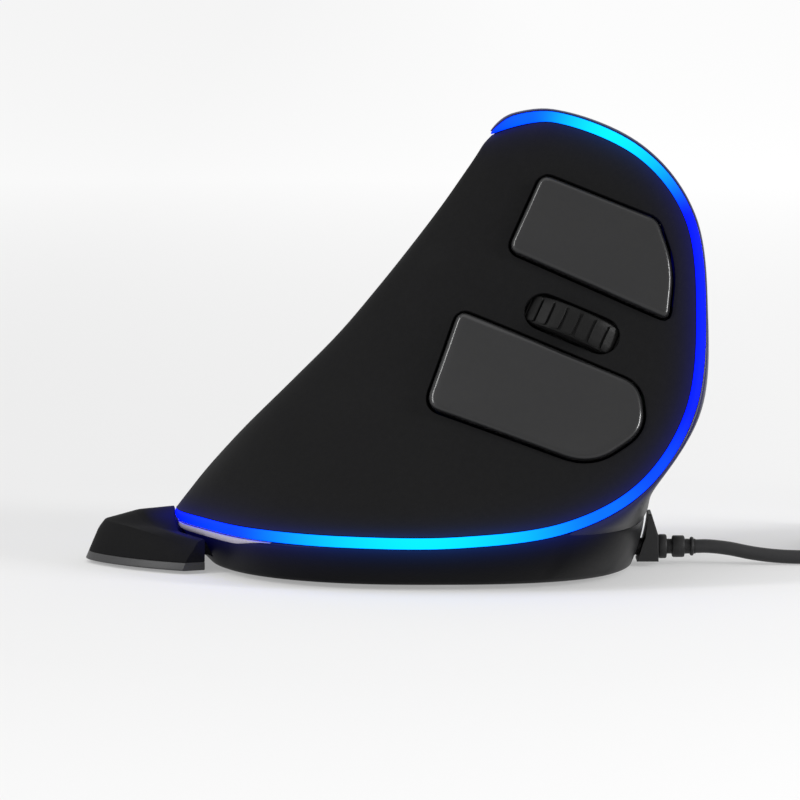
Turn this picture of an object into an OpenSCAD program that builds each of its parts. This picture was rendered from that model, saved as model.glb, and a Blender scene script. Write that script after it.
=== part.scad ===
// Vertical computer mouse for the right hand, with a lit edge and a clip-on palm rest.
// +X points forward to the cable, -Y is the finger side, +Y the thumb side, +Z is up.

/* [Body] */
// Length of the lit edge, rear to front
body_len = 89.5; // [84:0.5:96]
// Height of the lit edge at its top
body_h = 78.2; // [74:0.2:84]
// Reach of the edge from the centre line, finger side
finger_reach = 39.4; // [37:0.2:42]
// Reach of the edge from the centre line, thumb side
thumb_reach = 39.4; // [37:0.2:42]
// Height of the edge's level run above the desk
edge_h = 8.5; // [8:0.1:9.5]
// Wall of the covers and the base
wall = 1.8; // [1.5:0.1:2.2]
// Half width of the rounding along the palm ridge
ridge_round = 12; // [9:0.5:14]

/* [Light] */
// Width of the light guide's face
guide_w = 1.9; // [1.6:0.1:2.2]
// Depth of the light guide behind its face
guide_d = 2; // [1.6:0.1:2.4]
// Crown of the guide's face
guide_crown = 0.45; // [0.2:0.05:0.6]
// Gap along the guide's two sides
seam = 0.15; // [0.1:0.05:0.3]
// Number of lamps behind the guide
lamp_count = 16; // [8:1:24]

/* [Base] */
// Length of the base's foot
foot_len = 73; // [68:0.5:78]
// Width of the base's foot
foot_w = 68.6; // [62:0.2:72]
// Thickness of the base's floor
floor_t = 1.6; // [1.2:0.1:2]
// Thickness of the glide feet
glide_t = 0.8; // [0.6:0.1:1]
// Length of a glide foot
glide_len = 16; // [12:0.5:18]
// Width of a glide foot
glide_w = 5.5; // [4:0.5:7]
// Radius of the base screws' shanks
base_screw_r = 1; // [0.8:0.1:1.2]

/* [Finger keys] */
// Downward slope of the fingers from level
finger_slope = 25; // [20:1:30]
// Height of the keys over the panel
key_proud = 1.2; // [0.8:0.1:1.6]
// Gap round each key and button
key_gap = 0.45; // [0.35:0.05:0.6]
// Depth of the key caps under the panel
key_deep = 3.4; // [3:0.1:3.8]
// Radius of the key's pivot stubs
pivot_r = 1; // [0.8:0.1:1.2]
// Running clearance of pivots and axles
run_gap = 0.05; // [0.03:0.01:0.1]

/* [Wheel] */
// Diameter of the scroll wheel over its tyre
wheel_d = 22.6; // [21:0.2:23.6]
// Width of the wheel's tyre
wheel_w = 5.2; // [4.8:0.2:6]
// Height of the wheel over the panel
wheel_proud = 2.2; // [1.8:0.1:2.8]
// Thickness of the tyre
tyre_t = 2.6; // [2:0.1:3.2]
// Number of grooves round the tyre
groove_count = 28; // [20:1:36]
// Radius of the wheel's axle
axle_r = 1.2; // [1:0.1:1.4]

/* [Thumb buttons] */
// Length of the forward and back buttons
thumb_len = 15; // [13:0.5:16]
// Width of the forward and back buttons
thumb_w = 5.4; // [4.6:0.2:6]
// Length of the pointer speed button
speed_len = 8; // [7:0.5:10]
// Height of the buttons over the panel
thumb_proud = 1; // [0.6:0.1:1.4]

/* [Boards] */
// Thickness of the circuit boards
board_t = 1.4; // [1:0.1:1.6]
// Height of the main board over the desk
main_z = 6.2; // [5.8:0.1:6.6]
// Radius of the board screws' shanks
board_screw_r = 0.8; // [0.7:0.05:1]

/* [Palm rest] */
// Reach of the palm rest behind the centre of the foot
palm_reach = 58.5; // [56:0.2:60]
// Height of the palm rest at the body, in its middle
palm_h = 9.8; // [9.2:0.1:10.2]
// Height of the palm rest under the lit edge, beside its middle
palm_side_h = 6; // [5.6:0.1:6.4]
// Height of the palm rest at its rear
palm_rear_h = 7.5; // [6.6:0.1:8]
// Gap between the palm rest and the body
palm_gap = 0.5; // [0.4:0.1:0.8]
// Thickness of the palm rest's lower plate
palm_plate_t = 1.4; // [1.2:0.1:1.8]
// Thickness of the palm rest's pads
palm_pad_t = 0.6; // [0.4:0.1:0.8]
// Width of the palm rest's tongues
tongue_w = 6; // [5:0.5:8]

/* [Cable] */
// Diameter of the cable
cable_d = 2.4; // [2.2:0.1:2.5]
// Middle radius of the coil
coil_r = 13; // [12.5:0.25:14]
// Distance between neighbouring turns of the coil
coil_pitch = 2.9; // [2.85:0.05:3.1]
// Turns in each of the four layers
layer_turns = 4; // [3:1:5]

/* [Hidden] */
$fn = 32;

// Lines of the body as fractions: along its length, out to the reach, up from the level run.
rear_x = -37.3;
finger_lines = [
  [0, 0.013, 0], [0.056, 0.338, 0], [0.160, 0.698, 0], [0.327, 0.939, 0],
  [0.540, 1, 0.003], [0.741, 0.977, 0.037], [0.888, 0.876, 0.133], [0.979, 0.736, 0.308],
  [1, 0.609, 0.538], [0.980, 0.490, 0.760], [0.885, 0.406, 0.918], [0.724, 0.310, 1],
  [0.606, 0.15, 0.966]];
ridge_lines = [
  [0.020, 0.050, 0.056], [0.061, 0.063, 0.122], [0.130, 0.076, 0.220], [0.221, 0.100, 0.337],
  [0.314, 0.127, 0.459], [0.393, 0.152, 0.580], [0.460, 0.165, 0.689], [0.512, 0.175, 0.778],
  [0.550, 0.178, 0.848], [0.576, 0.178, 0.897], [0.592, 0.175, 0.929]];
thumb_lines = [
  [0.042, 0.317, 0], [0.126, 0.647, 0], [0.294, 0.939, 0], [0.506, 1, 0.003],
  [0.707, 0.964, 0.024], [0.858, 0.812, 0.122], [0.942, 0.596, 0.308], [0.964, 0.368, 0.531],
  [0.944, 0.190, 0.746], [0.858, 0.051, 0.904], [0.713, -0.038, 0.985]];

// Small tools for points and curves
function unit(v) = v / norm(v);
function lerp(a, b, t) = a + (b - a) * t;
function smooth(t) = let (c = min(max(t, 0), 1)) c * c * (3 - 2 * c);
function times(v, k) = [v[0] * k[0], v[1] * k[1], v[2] * k[2]];
function spline(a, b, c, d, t) =
  0.5 * (2 * b + (c - a) * t + (2 * a - 5 * b + 4 * c - d) * t * t + (3 * b - a - 3 * c + d) * t * t * t);
function bezier(a, b, c, d, t) =
  let (u = 1 - t) a * u * u * u + b * 3 * u * u * t + c * 3 * u * t * t + d * t * t * t;
function curve_at(pts, s) =
  let (n = len(pts), i = max(min(floor(s), n - 2), 0), a = pts[i], b = pts[i + 1],
    before = i > 0 ? pts[i - 1] : 2 * a - b, after = i < n - 2 ? pts[i + 2] : 2 * b - a)
  spline(before, a, b, after, s - i);
// An outline with each corner rounded by its own radius
function rounded(corners, radii, parts = 4) =
  let (n = len(corners))
  [for (i = [0:n - 1], k = [0:parts])
    let (p = corners[i], r = radii[i], t = k / parts,
      a = p + r * unit(corners[(i + n - 1) % n] - p), b = p + r * unit(corners[(i + 1) % n] - p))
    a * (1 - t) * (1 - t) + p * 2 * t * (1 - t) + b * t * t];
function middle(pts) = [for (k = [0:len(pts[0]) - 1]) let (v = [for (p = pts) p[k]]) (min(v) + max(v)) / 2];
function slot_outline(l, w, parts = 6) =
  [for (side = [0, 1], k = [0:parts])
    let (a = -90 + 180 * k / parts + 180 * side, c = side == 0 ? 1 : -1)
    [c * (l - w) / 2 + w / 2 * cos(a), w / 2 * sin(a)]];

// The lit edge: a closed curve, from the rear round the finger side to the tip and back by the thumb side
function body_point(f, reach) = [rear_x + f[0] * body_len, f[1] * reach, edge_h + f[2] * (body_h - edge_h)];
last = len(finger_lines) - 1;
whole = 2 * last;
edge_points = concat(
  [for (f = finger_lines) body_point(f, -finger_reach)],
  [for (i = [last - 2:-1:0]) body_point(thumb_lines[i], thumb_reach)]);
ridge_middle = [for (f = ridge_lines) body_point(f, -finger_reach)];
fine = 0.05;
function edge_at(s) =
  let (q = s + whole, i = floor(q))
  spline(edge_points[(i - 1) % whole], edge_points[i % whole], edge_points[(i + 1) % whole],
    edge_points[(i + 2) % whole], q - i);
function edge_along(s) = unit(edge_at(s + fine) - edge_at(s - fine));
core_points = concat([edge_points[0]], ridge_middle, [edge_points[last]]);
pole_keep = 0.7;
core_lift = 0.25;
function core_at(s) =
  let (q = min(max(s > last ? whole - s : s, pole_keep), last - pole_keep))
  lerp((edge_at(q) + edge_at(whole - q)) / 2, curve_at(core_points, q), core_lift);
function edge_out(s) = let (a = edge_along(s), q = edge_at(s) - core_at(s)) unit(q - (q * a) * a);
function edge_up(s) = cross(edge_out(s), edge_along(s));
half_seat = guide_w / 2 + seam;
function rim_up(s) = edge_at(s) + edge_up(s) * half_seat;
function rim_down(s) = edge_at(s) - edge_up(s) * half_seat;

// The upper skin: s runs along the edge, w from the finger edge (0) over the ridge (1) to the thumb edge (2)
ridge_points = concat([rim_up(0)], ridge_middle, [rim_up(last)]);
finger_flare = 0.36 * [1, 0.85, 0.75];
thumb_flare = 0.42 * [1, 1, 0.45];
function ridge_handle(m) = [0, min(ridge_round, 0.38 * norm(m), 0.55 * abs(m[1])), 0];
function skin_at(s, w) =
  let (r = curve_at(ridge_points, s))
  w <= 1
  ? let (f = rim_up(s), m = r - f) bezier(f, f + times(m, finger_flare), r - ridge_handle(m), r, w)
  : let (t = rim_up(whole - s), m = r - t)
    bezier(r, r + ridge_handle(m), t + times(m, thumb_flare), t, w - 1);
function skin_normal(s, w) =
  let (s0 = max(s - fine, fine), s1 = min(s + fine, last - fine),
    w0 = max(w - fine, 0), w1 = min(w + fine, 2))
  unit(cross(skin_at(s1, w) - skin_at(s0, w), skin_at(s, w1) - skin_at(s, w0)));
edge_blend = 7;
rim_share = 0.65;
function skin_inner(s, w, depth) =
  let (p = skin_at(s, w), o = unit(lerp(edge_out(s), edge_out(whole - s), w / 2)),
    k = smooth(min(norm(p - rim_up(s)), norm(p - rim_up(whole - s))) / edge_blend))
  p - depth * lerp(rim_share, 1, k) * (k > 0.01 ? unit(lerp(o, skin_normal(s, w), k)) : o);

// A flat frame laid on the skin, as [origin, along, across, outward]
function skin_frame(s, w, dir) =
  let (o = skin_at(s, w), ds = skin_at(s + 1, w) - skin_at(s - 1, w),
    dw = skin_at(s, w + 0.2) - skin_at(s, w - 0.2), n = unit(cross(ds, dw)), a = unit(dir - (dir * n) * n))
  [o, a, cross(n, a), n];
// Newton steps to the skin point over (x, y) of a frame
function land(f, x, y, g, steps) =
  steps == 0 ? g
  : let (d = 0.02, p = skin_at(g[0], g[1]) - f[0],
      ps = (skin_at(g[0] + d, g[1]) - skin_at(g[0] - d, g[1])) / (2 * d),
      pw = (skin_at(g[0], g[1] + d) - skin_at(g[0], g[1] - d)) / (2 * d),
      a = ps * f[1], b = pw * f[1], c = ps * f[2], e = pw * f[2], rx = x - p * f[1], ry = y - p * f[2],
      det = a * e - b * c)
    land(f, x, y, [g[0] + (rx * e - b * ry) / det, g[1] + (a * ry - c * rx) / det], steps - 1);
function skin_height(f, x, y, g) = let (q = land(f, x, y, g, 5)) (skin_at(q[0], q[1]) - f[0]) * f[3];
module in_frame(f) {
  multmatrix([for (k = [0:2]) [f[1][k], f[2][k], f[3][k], f[0][k]]]) children();
}
function from_frame(f, p) = f[0] + f[1] * p[0] + f[2] * p[1] + f[3] * p[2];

// Solids from rings and grids of points
module loft(rings) {
  n = len(rings);
  c = len(rings[0]);
  ends = [middle(rings[0]), middle(rings[n - 1])];
  pts = concat([for (ring = rings) each ring], ends);
  sides = [for (i = [0:n - 2], j = [0:c - 1])
    let (a = i * c + j, b = i * c + (j + 1) % c, d = a + c, e = b + c) each [[a, e, b], [a, d, e]]];
  top = (n - 1) * c;
  caps = [for (j = [0:c - 1]) let (k = (j + 1) % c) each [[n * c, j, k], [n * c + 1, top + k, top + j]]];
  polyhedron(pts, concat(sides, caps), convexity = 10);
}
module ring_loft(rings) {
  n = len(rings);
  c = len(rings[0]);
  polyhedron([for (ring = rings) each ring], [for (i = [0:n - 1], j = [0:c - 1])
    let (k = (j + 1) % c, m = (i + 1) % n, a = i * c + j, b = i * c + k, d = m * c + j, e = m * c + k)
    each [[a, b, e], [a, e, d]]], convexity = 10);
}
// A wall between an outer and an inner grid; a row of a grid may close to one point at either end
module wall_between(outer, inner, points_at_ends) {
  r = len(outer);
  c = len(outer[0]);
  function id(k, i, j) =
    k * r * c + i * c + ((i == 0 && points_at_ends[0]) || (i == r - 1 && points_at_ends[1]) ? 0 : j);
  quads = concat(
    [for (i = [0:r - 2], j = [0:c - 2]) [id(0, i, j), id(0, i, j + 1), id(0, i + 1, j + 1), id(0, i + 1, j)]],
    [for (i = [0:r - 2], j = [0:c - 2]) [id(1, i + 1, j), id(1, i + 1, j + 1), id(1, i, j + 1), id(1, i, j)]],
    [for (i = [0:r - 2]) [id(1, i, 0), id(0, i, 0), id(0, i + 1, 0), id(1, i + 1, 0)]],
    [for (i = [0:r - 2]) [id(1, i, c - 1), id(1, i + 1, c - 1), id(0, i + 1, c - 1), id(0, i, c - 1)]],
    points_at_ends[0] ? [] :
      [for (j = [0:c - 2]) [id(1, 0, j), id(1, 0, j + 1), id(0, 0, j + 1), id(0, 0, j)]],
    points_at_ends[1] ? [] :
      [for (j = [0:c - 2]) [id(0, r - 1, j), id(0, r - 1, j + 1), id(1, r - 1, j + 1), id(1, r - 1, j)]]);
  polyhedron(concat([for (row = outer) each row], [for (row = inner) each row]),
    [for (q = quads, h = [[0, 1, 2], [0, 2, 3]])
      let (t = [q[h[0]], q[h[1]], q[h[2]]]) if (t[0] != t[1] && t[1] != t[2] && t[0] != t[2]) t],
    convexity = 10);
}

// Front and top band between the two runs of the edge, from the cheek up to the tip
cheek = 5;
band_bulge = [21, 4.8, 3.6, 1.7, 1.5, 1.2, 0.7, 0.3];
function band_at(s, w) =
  let (f = rim_down(s), t = rim_down(whole - s), a = edge_along(s), n = unit([a[2], 0, max(-a[0], 0)]),
    h = curve_at(band_bulge, s - cheek) * n)
  bezier(f, f + h, t + h, t, w);
function band_inner(s, w) =
  let (p = band_at(s, w), o = unit(lerp(edge_out(s), edge_out(whole - s), w)),
    s1 = min(s + fine, last), w0 = max(w - fine, 0), w1 = min(w + fine, 1),
    k = smooth(min(norm(p - rim_down(s)), norm(p - rim_down(whole - s))) / edge_blend),
    n = cross(band_at(s, w1) - band_at(s, w0), band_at(s1, w) - band_at(s1 - 2 * fine, w)))
  p - wall * (k > 0.01 ? unit(lerp(o, unit(n), k)) : o);

// Base bowl: its rim follows the edge and the band's lower end, its foot is a rounded oval
base_z = glide_t;
floor_z = base_z + floor_t;
foot_cx = 5;
foot_round = [2.8, 2.2];
function foot_at(a, inset = 0) =
  let (n = cos(a) > 0 ? foot_round[0] : foot_round[1], l = foot_len / 2 - inset, w = foot_w / 2 - inset,
    r = 1 / pow(pow(abs(cos(a)) / l, n) + pow(abs(sin(a)) / w, n), 1 / n))
  [foot_cx + r * cos(a), r * sin(a)];
function bearing(p) = atan2(p[1], p[0] - foot_cx);
base_rim = concat(
  [for (i = [0:4 * cheek]) rim_down(i / 4)],
  [for (i = [1:11]) band_at(cheek, i / 12) - [0, 0, 2 * seam]],
  [for (i = [4 * cheek:-1:1]) rim_down(whole - i / 4)]);
skirt_bow = 1.6;
function skirt_at(g, d) =
  let (q = lerp([g[0], g[1]], foot_at(bearing(g)), pow(d, skirt_bow))) [q[0], q[1], lerp(g[2], base_z, d)];
function skirt_inner(g, d) =
  let (a = bearing(g), o = [cos(a), sin(a)],
    q = lerp([g[0], g[1]] - wall * o, foot_at(a, wall), pow(d, skirt_bow)))
  [q[0], q[1], lerp(g[2], floor_z, d)];
front_rim = band_at(cheek, 0.5);
function front_x(z) = skirt_at(front_rim, (front_rim[2] - z) / (front_rim[2] - base_z))[0];

// Places in the base
base_screws_at = [[-12, -22], [-12, 22], [10, -28], [10, 28]];
screw_head_r = 2.1;
screw_gap = 0.1;
column_r = 2.6;
main_len = 46;
main_w = 34;
main_x = 8;
post_r = 2.4;
posts_at = [[main_x - 19, -13], [main_x - 19, 13], [main_x + 19, -13]];
lens_size = [14, 9];
lens_at = [main_x - 2, 0];
glide_at = [[33, 0, 90], [-23, 0, 90], [0, -22, 0], [0, 22, 0]];
cable_y = -4;
cable_z = 3.2;
neck_r = 1.5;
tongue_at = 9;
tongue_z = 2.8;
tongue_t = 2;
tongue_gap = 0.3;
tongue_reach = 5;
tongue_root = 8;

// Finger side: everything behind the panel lies in one frame at the wheel
finger_spot = [7.25, 0.35];
finger = skin_frame(finger_spot[0], finger_spot[1], [cos(finger_slope), 0, -sin(finger_slope)]);
left_outline = rounded(
  [[-15.3, 7.4], [14.9, 6.8], [12.1, 15.6], [6.2, 22], [-15.3, 21.8]], [2, 1.6, 4, 1.4, 2]);
right_outline = rounded(
  [[-17.4, -22.8], [13.5, -21.6], [19.2, -12], [14.8, -5.2], [-18.9, -5.2]], [3, 5, 4, 3, 2]);
key_bevel = 0.9;
key_crown = 0.25;
arm_t = 1.4;
arm_z = -6.6;
left_pivot = [-19, 12.8];
right_pivot = [-22.5, -13];
pivot_z = -7;
arm_reach = 5.8;
barrel_r = 1.7;
barrel_len = 7;
stub_len = 1.8;
ear_t = 1.5;
ear_gap = 0.2;
ear_len = 4;
switch_size = [12.8, 5.8, 6.5];
switch_x = 4;
left_switch_y = 12.6;
right_switch_y = -13;
key_travel = 0.5;
nib_z = -5.6;
plunger_size = [2.9, 1.2];
plunger_h = 0.8;
tact_gap = 0.05;
switch_top = nib_z - tact_gap - plunger_h;
board_top = switch_top - switch_size[2];
wheel_r = wheel_d / 2;
wheel_z = wheel_proud - wheel_r;
slot_len = 17.2;
slot_relief = 1.2;
slot_lip = 0.6;
wheel_gap = 0.6;
slot_w = wheel_w + 2 * wheel_gap;
cheek_t = 1.4;
cheek_y = wheel_w / 2 + wheel_gap;
cradle_h = 6;
cradle_front_gap = 1;
cradle_rear_gap = 3.4;
cradle_drop = 1.6;
bar_x = wheel_r + cradle_front_gap;
cradle_rear = -wheel_r - cradle_rear_gap;
cradle_z = wheel_z - cradle_drop;
cradle_barrel_r = 1.6;
cradle_stub_r = 0.9;
bracket_gap = 0.4;
bracket_t = 1.4;
tact_size = [4.4, 4.4, 3];
tact_ahead = 3.7;
tact_at = [wheel_r + tact_ahead, -0.8];
tact_r = 1.3;
tact_h = 0.7;
encoder_size = [8, 3.6];
encoder_gap = 0.5;
encoder_y = cheek_y + cheek_t + encoder_gap;
axle_clear = 1.2;
encoder_bore = axle_r + axle_clear;
switch_bosses = [[-22.5, -1], [16.4, 4.4]];
boss_r = 2;
boss_pilot = board_screw_r + run_gap;
boss_bore = 6;
board_hole_r = board_screw_r + screw_gap;

// Thumb side: the same for its three buttons
thumb_spot = [7.5, 1.55];
thumb_slope = 14;
thumb = skin_frame(thumb_spot[0], thumb_spot[1], [cos(thumb_slope), 0, -sin(thumb_slope)]);
forward_at = [13, 3];
back_at = [-4, 4];
speed_at = [3, 13];
button_deep = 3;
stem_r = 1.6;
button_travel = 0.5;
thumb_tact = [6, 6, 2];
stem_z = -4.7;
thumb_board_top = stem_z - tact_gap - tact_h - thumb_tact[2];
thumb_bosses = [[4.5, -4], [13, 12.5], [-7, 12.5]];
thumb_bore = 5;
flange_t = 1;
flange_lip = 0.8;

// How far a cut runs past the face that it opens, over the curved skin, and right through
past = 1;
over_skin = 6;
through = 40;
function shift(pts, d) = [for (p = pts) p + d];
function forward_outline() = shift(slot_outline(thumb_len, thumb_w), forward_at);
function back_outline() = shift(slot_outline(thumb_len, thumb_w), back_at);
function speed_outline() = shift(slot_outline(speed_len, thumb_w), speed_at);
// A cap that follows the skin, from a flat underside up to a bevelled and crowned face
module skin_cap(f, g, outline, proud, deep) {
  c = middle(outline);
  half = min([for (p = outline) norm(p - c)]);
  function shrunk(k) = [for (p = outline) c + (p - c) * k];
  function lifted(pts, up) = [for (p = pts) [p[0], p[1], skin_height(f, p[0], p[1], g) + up]];
  loft([
    [for (p = outline) [p[0], p[1], -deep]],
    lifted(outline, proud - key_bevel),
    lifted(shrunk(1 - key_bevel / half), proud),
    lifted(shrunk(0.5), proud + key_crown)]);
}
module cut_through(outline, gap, deep, high) {
  translate([0, 0, -deep]) linear_extrude(deep + high) offset(delta = gap) polygon(outline);
}
module bar(size, at) { translate([at[0] - size[0] / 2, at[1] - size[1] / 2, at[2]]) cube(size); }
// A cylinder across a frame, along its local Y
module cross_pin(r, len, at) {
  translate([at[0], at[1] - len / 2, at[2]]) rotate([-90, 0, 0]) cylinder(r = r, h = len);
}
module at_each(places, z) { for (p = places) translate([p[0], p[1], z]) children(); }
function corners(l, w) = [[-l, -w], [l, -w], [l, w], [-l, w]] / 2;

// Upper covers
shell_rows = [for (i = [0:4 * last]) i / 4];
cover_seam = 1.25;
finger_cols = [for (i = [0:10]) i / 10, 1.12, cover_seam];
thumb_cols = [cover_seam, 1.4, 1.55, 1.7, 1.8, 1.9, 2];
module upper_wall(cols) {
  wall_between([for (s = shell_rows) [for (w = cols) skin_at(s, w)]],
    [for (s = shell_rows) [for (w = cols) skin_inner(s, w, wall)]], [true, true]);
}
desk = [[0, 0, 0], [1, 0, 0], [0, 1, 0], [0, 0, 1]];
// Where on the skin the search for each column's top starts
column_spots = [[3.6, 0.5], [3.4, 1.65], [5, 0.35], [4.8, 1.77]];
// A screw column from the floor up into the wall, cut along the skin at half the wall
module column(p, g) {
  q = land(desk, p[0], p[1], g, 5);
  f = skin_frame(q[0], q[1], [1, 0, 0]);
  difference() {
    translate([p[0], p[1], floor_z + screw_gap]) cylinder(r = column_r, h = f[0][2] + column_r * 2);
    in_frame(f) bar([through, through, through], [0, 0, -wall / 2]);
  }
}
module column_bore(p) {
  translate([p[0], p[1], base_z]) cylinder(r = base_screw_r + run_gap, h = base_screw_len + past);
}
module ear(x, y, g) {
  top = min([for (e = [-1, 1]) skin_height(finger, x + e * ear_len / 2, y, g)]) - wall / 2;
  bar([ear_len, ear_t, top - pivot_z + ear_len / 2], [x, y, pivot_z - ear_len / 2]);
}
module ears(p, g) { for (side = [-1, 1]) ear(p[0], p[1] + side * (barrel_len / 2 + ear_gap + ear_t / 2), g); }
module boss(f, p, g, low) {
  top = skin_height(f, p[0], p[1], g) - wall / 2;
  translate([p[0], p[1], low]) cylinder(r = boss_r, h = top - low);
}
module finger_cover() {
  color([0.16, 0.16, 0.17]) difference() {
    union() {
      upper_wall(finger_cols);
      in_frame(finger) {
        ears(left_pivot, finger_spot);
        ears(right_pivot, finger_spot);
        for (p = switch_bosses) boss(finger, p, finger_spot, board_top);
      }
      column(base_screws_at[0], column_spots[0]);
      column(base_screws_at[2], column_spots[2]);
    }
    in_frame(finger) {
      cut_through(left_outline, key_gap, key_deep + past, over_skin);
      cut_through(right_outline, key_gap, key_deep + past, over_skin);
      cut_through(slot_outline(slot_len, slot_w), 0, key_deep, over_skin);
      cut_through(slot_outline(slot_len + 2 * slot_relief, slot_w), 0, key_deep, -slot_lip);
      for (p = [left_pivot, right_pivot])
        cross_pin(pivot_r + run_gap, barrel_len + 2 * (ear_gap + ear_t + past), [p[0], p[1], pivot_z]);
      at_each(switch_bosses, board_top - past) cylinder(r = boss_pilot, h = boss_bore + past);
    }
    column_bore(base_screws_at[0]);
    column_bore(base_screws_at[2]);
  }
}
module thumb_cover() {
  color([0.15, 0.15, 0.16]) difference() {
    union() {
      upper_wall(thumb_cols);
      in_frame(thumb) for (p = thumb_bosses) boss(thumb, p, thumb_spot, thumb_board_top);
      column(base_screws_at[1], column_spots[1]);
      column(base_screws_at[3], column_spots[3]);
    }
    in_frame(thumb) {
      for (o = [forward_outline(), back_outline(), speed_outline()])
        cut_through(o, key_gap, button_deep + past, over_skin);
      at_each(thumb_bosses, thumb_board_top - past) cylinder(r = boss_pilot, h = thumb_bore + past);
    }
    column_bore(base_screws_at[1]);
    column_bore(base_screws_at[3]);
  }
}
band_rows = [for (i = [0:4 * (last - cheek)]) cheek + i / 4];
band_cols = [for (i = [0:10]) 1 - i / 10];
module front_cover() {
  color([0.1, 0.1, 0.11])
    wall_between([for (s = band_rows) [for (w = band_cols) band_at(s, w)]],
      [for (s = band_rows) [for (w = band_cols) band_inner(s, w)]], [false, true]);
}

// Light
// Half widths of the guide's back and of its crown, as shares of its face
guide_back = 0.25;
guide_flat = 0.22;
guide_section = [[-guide_d, -guide_w * guide_back], [0, -guide_w / 2], [guide_crown, -guide_w * guide_flat],
  [guide_crown, guide_w * guide_flat], [0, guide_w / 2], [-guide_d, guide_w * guide_back]];
function along_edge(section, per) =
  [for (i = [0:per * whole - 1])
    let (s = i / per, e = edge_at(s), o = edge_out(s), u = edge_up(s))
    [for (g = section) e + g[0] * o + g[1] * u]];
module light_guide() { color([0.1, 0.45, 1]) ring_loft(along_edge(guide_section, 4)); }
lamp_size = [1.8, 0.5, 0.9];
strip_t = 0.4;
strip_w = 1.05;
strip_drop = 0.2;
lamp_gap = 0.15;
lamp_seat = 0.05;
strip_in = guide_d + lamp_size[1] + lamp_gap;
module led_strip() {
  low = -strip_w / 2 - strip_drop;
  high = strip_w / 2 - strip_drop;
  color("white") ring_loft(along_edge(
    [[-strip_in - strip_t, low], [-strip_in, low], [-strip_in, high], [-strip_in - strip_t, high]], 4));
}
module light_leds() {
  color("lightyellow") for (i = [0:lamp_count - 1]) {
    s = (i + 0.5) * whole / lamp_count;
    in_frame([edge_at(s), edge_along(s), edge_out(s), edge_up(s)])
      translate([-lamp_size[0] / 2, lamp_seat - strip_in, -lamp_size[2] / 2 - strip_drop]) cube(lamp_size);
  }
}

// Base and what stands on it
module base_shell() {
  color([0.1, 0.1, 0.11]) difference() {
    union() {
      loft(concat(
        [for (d = [1, 0.8, 0.55, 0.25, 0]) [for (g = base_rim) skirt_at(g, d)]],
        [for (d = [0, 0.4, 0.75, 1]) [for (g = base_rim) skirt_inner(g, d)]]));
      at_each(posts_at, floor_z - floor_t / 2) cylinder(r = post_r, h = main_z - floor_z + floor_t / 2);
    }
    bar([window_size[0], window_size[1], floor_t * 3], [lens_at[0], lens_at[1], base_z - floor_t]);
    at_each(base_screws_at, 0) {
      cylinder(r = base_screw_r + screw_gap, h = floor_z + past);
      cylinder(r = screw_head_r + screw_gap, h = base_z + screw_head_h);
    }
    at_each(posts_at, main_z - post_bore) cylinder(r = boss_pilot, h = post_bore + past);
    translate([boot_in - 2 * wall, cable_y, cable_z]) rotate([0, 90, 0])
      cylinder(r = neck_r + screw_gap, h = cable_out - boot_in + 2 * wall);
    for (side = [-1, 1]) tongue(side, tongue_gap);
  }
}
module glide_feet() {
  color([0.2, 0.2, 0.22]) for (p = glide_at) translate([p[0], p[1], 0]) rotate(p[2])
    linear_extrude(glide_t) polygon(slot_outline(glide_len, glide_w));
}
window_size = [9, 5];
screw_head_h = 0.8;
base_screw_len = 8;
module base_screws() {
  color("silver") at_each(base_screws_at, base_z + screw_gap) {
    cylinder(r = screw_head_r, h = screw_head_h - screw_gap);
    cylinder(r = base_screw_r, h = base_screw_len);
  }
}
main_top = main_z + board_t;
post_bore = 3.4;
module main_board() {
  color([0.05, 0.3, 0.15]) difference() {
    translate([main_x, 0, main_z]) linear_extrude(board_t)
      polygon(rounded(corners(main_len, main_w), [2, 2, 6, 2]));
    at_each(posts_at, main_z - past) cylinder(r = board_hole_r, h = board_t + 2 * past);
    at_each([lens_at], main_z - past) cylinder(r = lens_r + lens_gap, h = board_t + 2 * past);
  }
}
// A board screw, pointing up from the board's back at z = 0, or down when turned over
screw_cap = [1.5, 1];
screw_room = 0.4;
module board_screw(len) {
  translate([0, 0, -screw_cap[1]]) cylinder(r = screw_cap[0], h = screw_cap[1]);
  cylinder(r = board_screw_r, h = len);
}
module main_board_screws() {
  color("silver") at_each(posts_at, main_top) rotate([180, 0, 0])
    board_screw(board_t + post_bore - screw_room);
}
chip_size = [7, 7, 1.1];
chip_at = [main_x - 13, 3];
lead_count = 6;
lead_step = 1;
lead_size = [0.4, 1.2, 0.5];
lead_in = 0.2;
module controller_chip() {
  color([0.08, 0.08, 0.09]) {
    bar(chip_size, [chip_at[0], chip_at[1], main_top]);
    for (turn = [0:90:270], i = [0:lead_count - 1])
      translate([chip_at[0], chip_at[1], main_top]) rotate(turn)
        bar(lead_size,
          [(i - (lead_count - 1) / 2) * lead_step, (chip_size[1] + lead_size[1]) / 2 - lead_in, 0]);
  }
}
sensor_size = [10, 6.4, 2.2];
lens_r = 2;
lens_gap = 0.3;
module sensor_chip() { color([0.07, 0.07, 0.08]) bar(sensor_size, [lens_at[0], lens_at[1], main_top]); }
lens_plate = 1.1;
module sensor_lens() {
  color([0.8, 0.85, 0.9]) {
    bar([lens_size[0], lens_size[1], lens_plate], [lens_at[0], lens_at[1], floor_z]);
    at_each([lens_at], floor_z - floor_t / 2) cylinder(r = lens_r, h = main_z - floor_z + floor_t / 2);
  }
}
socket_size = [6, 8, 4.6];
socket_at = [main_x + main_len / 2 - socket_size[0] / 2, cable_y];
module cable_socket() { color("ivory") bar(socket_size, [socket_at[0], socket_at[1], main_top]); }

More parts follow.
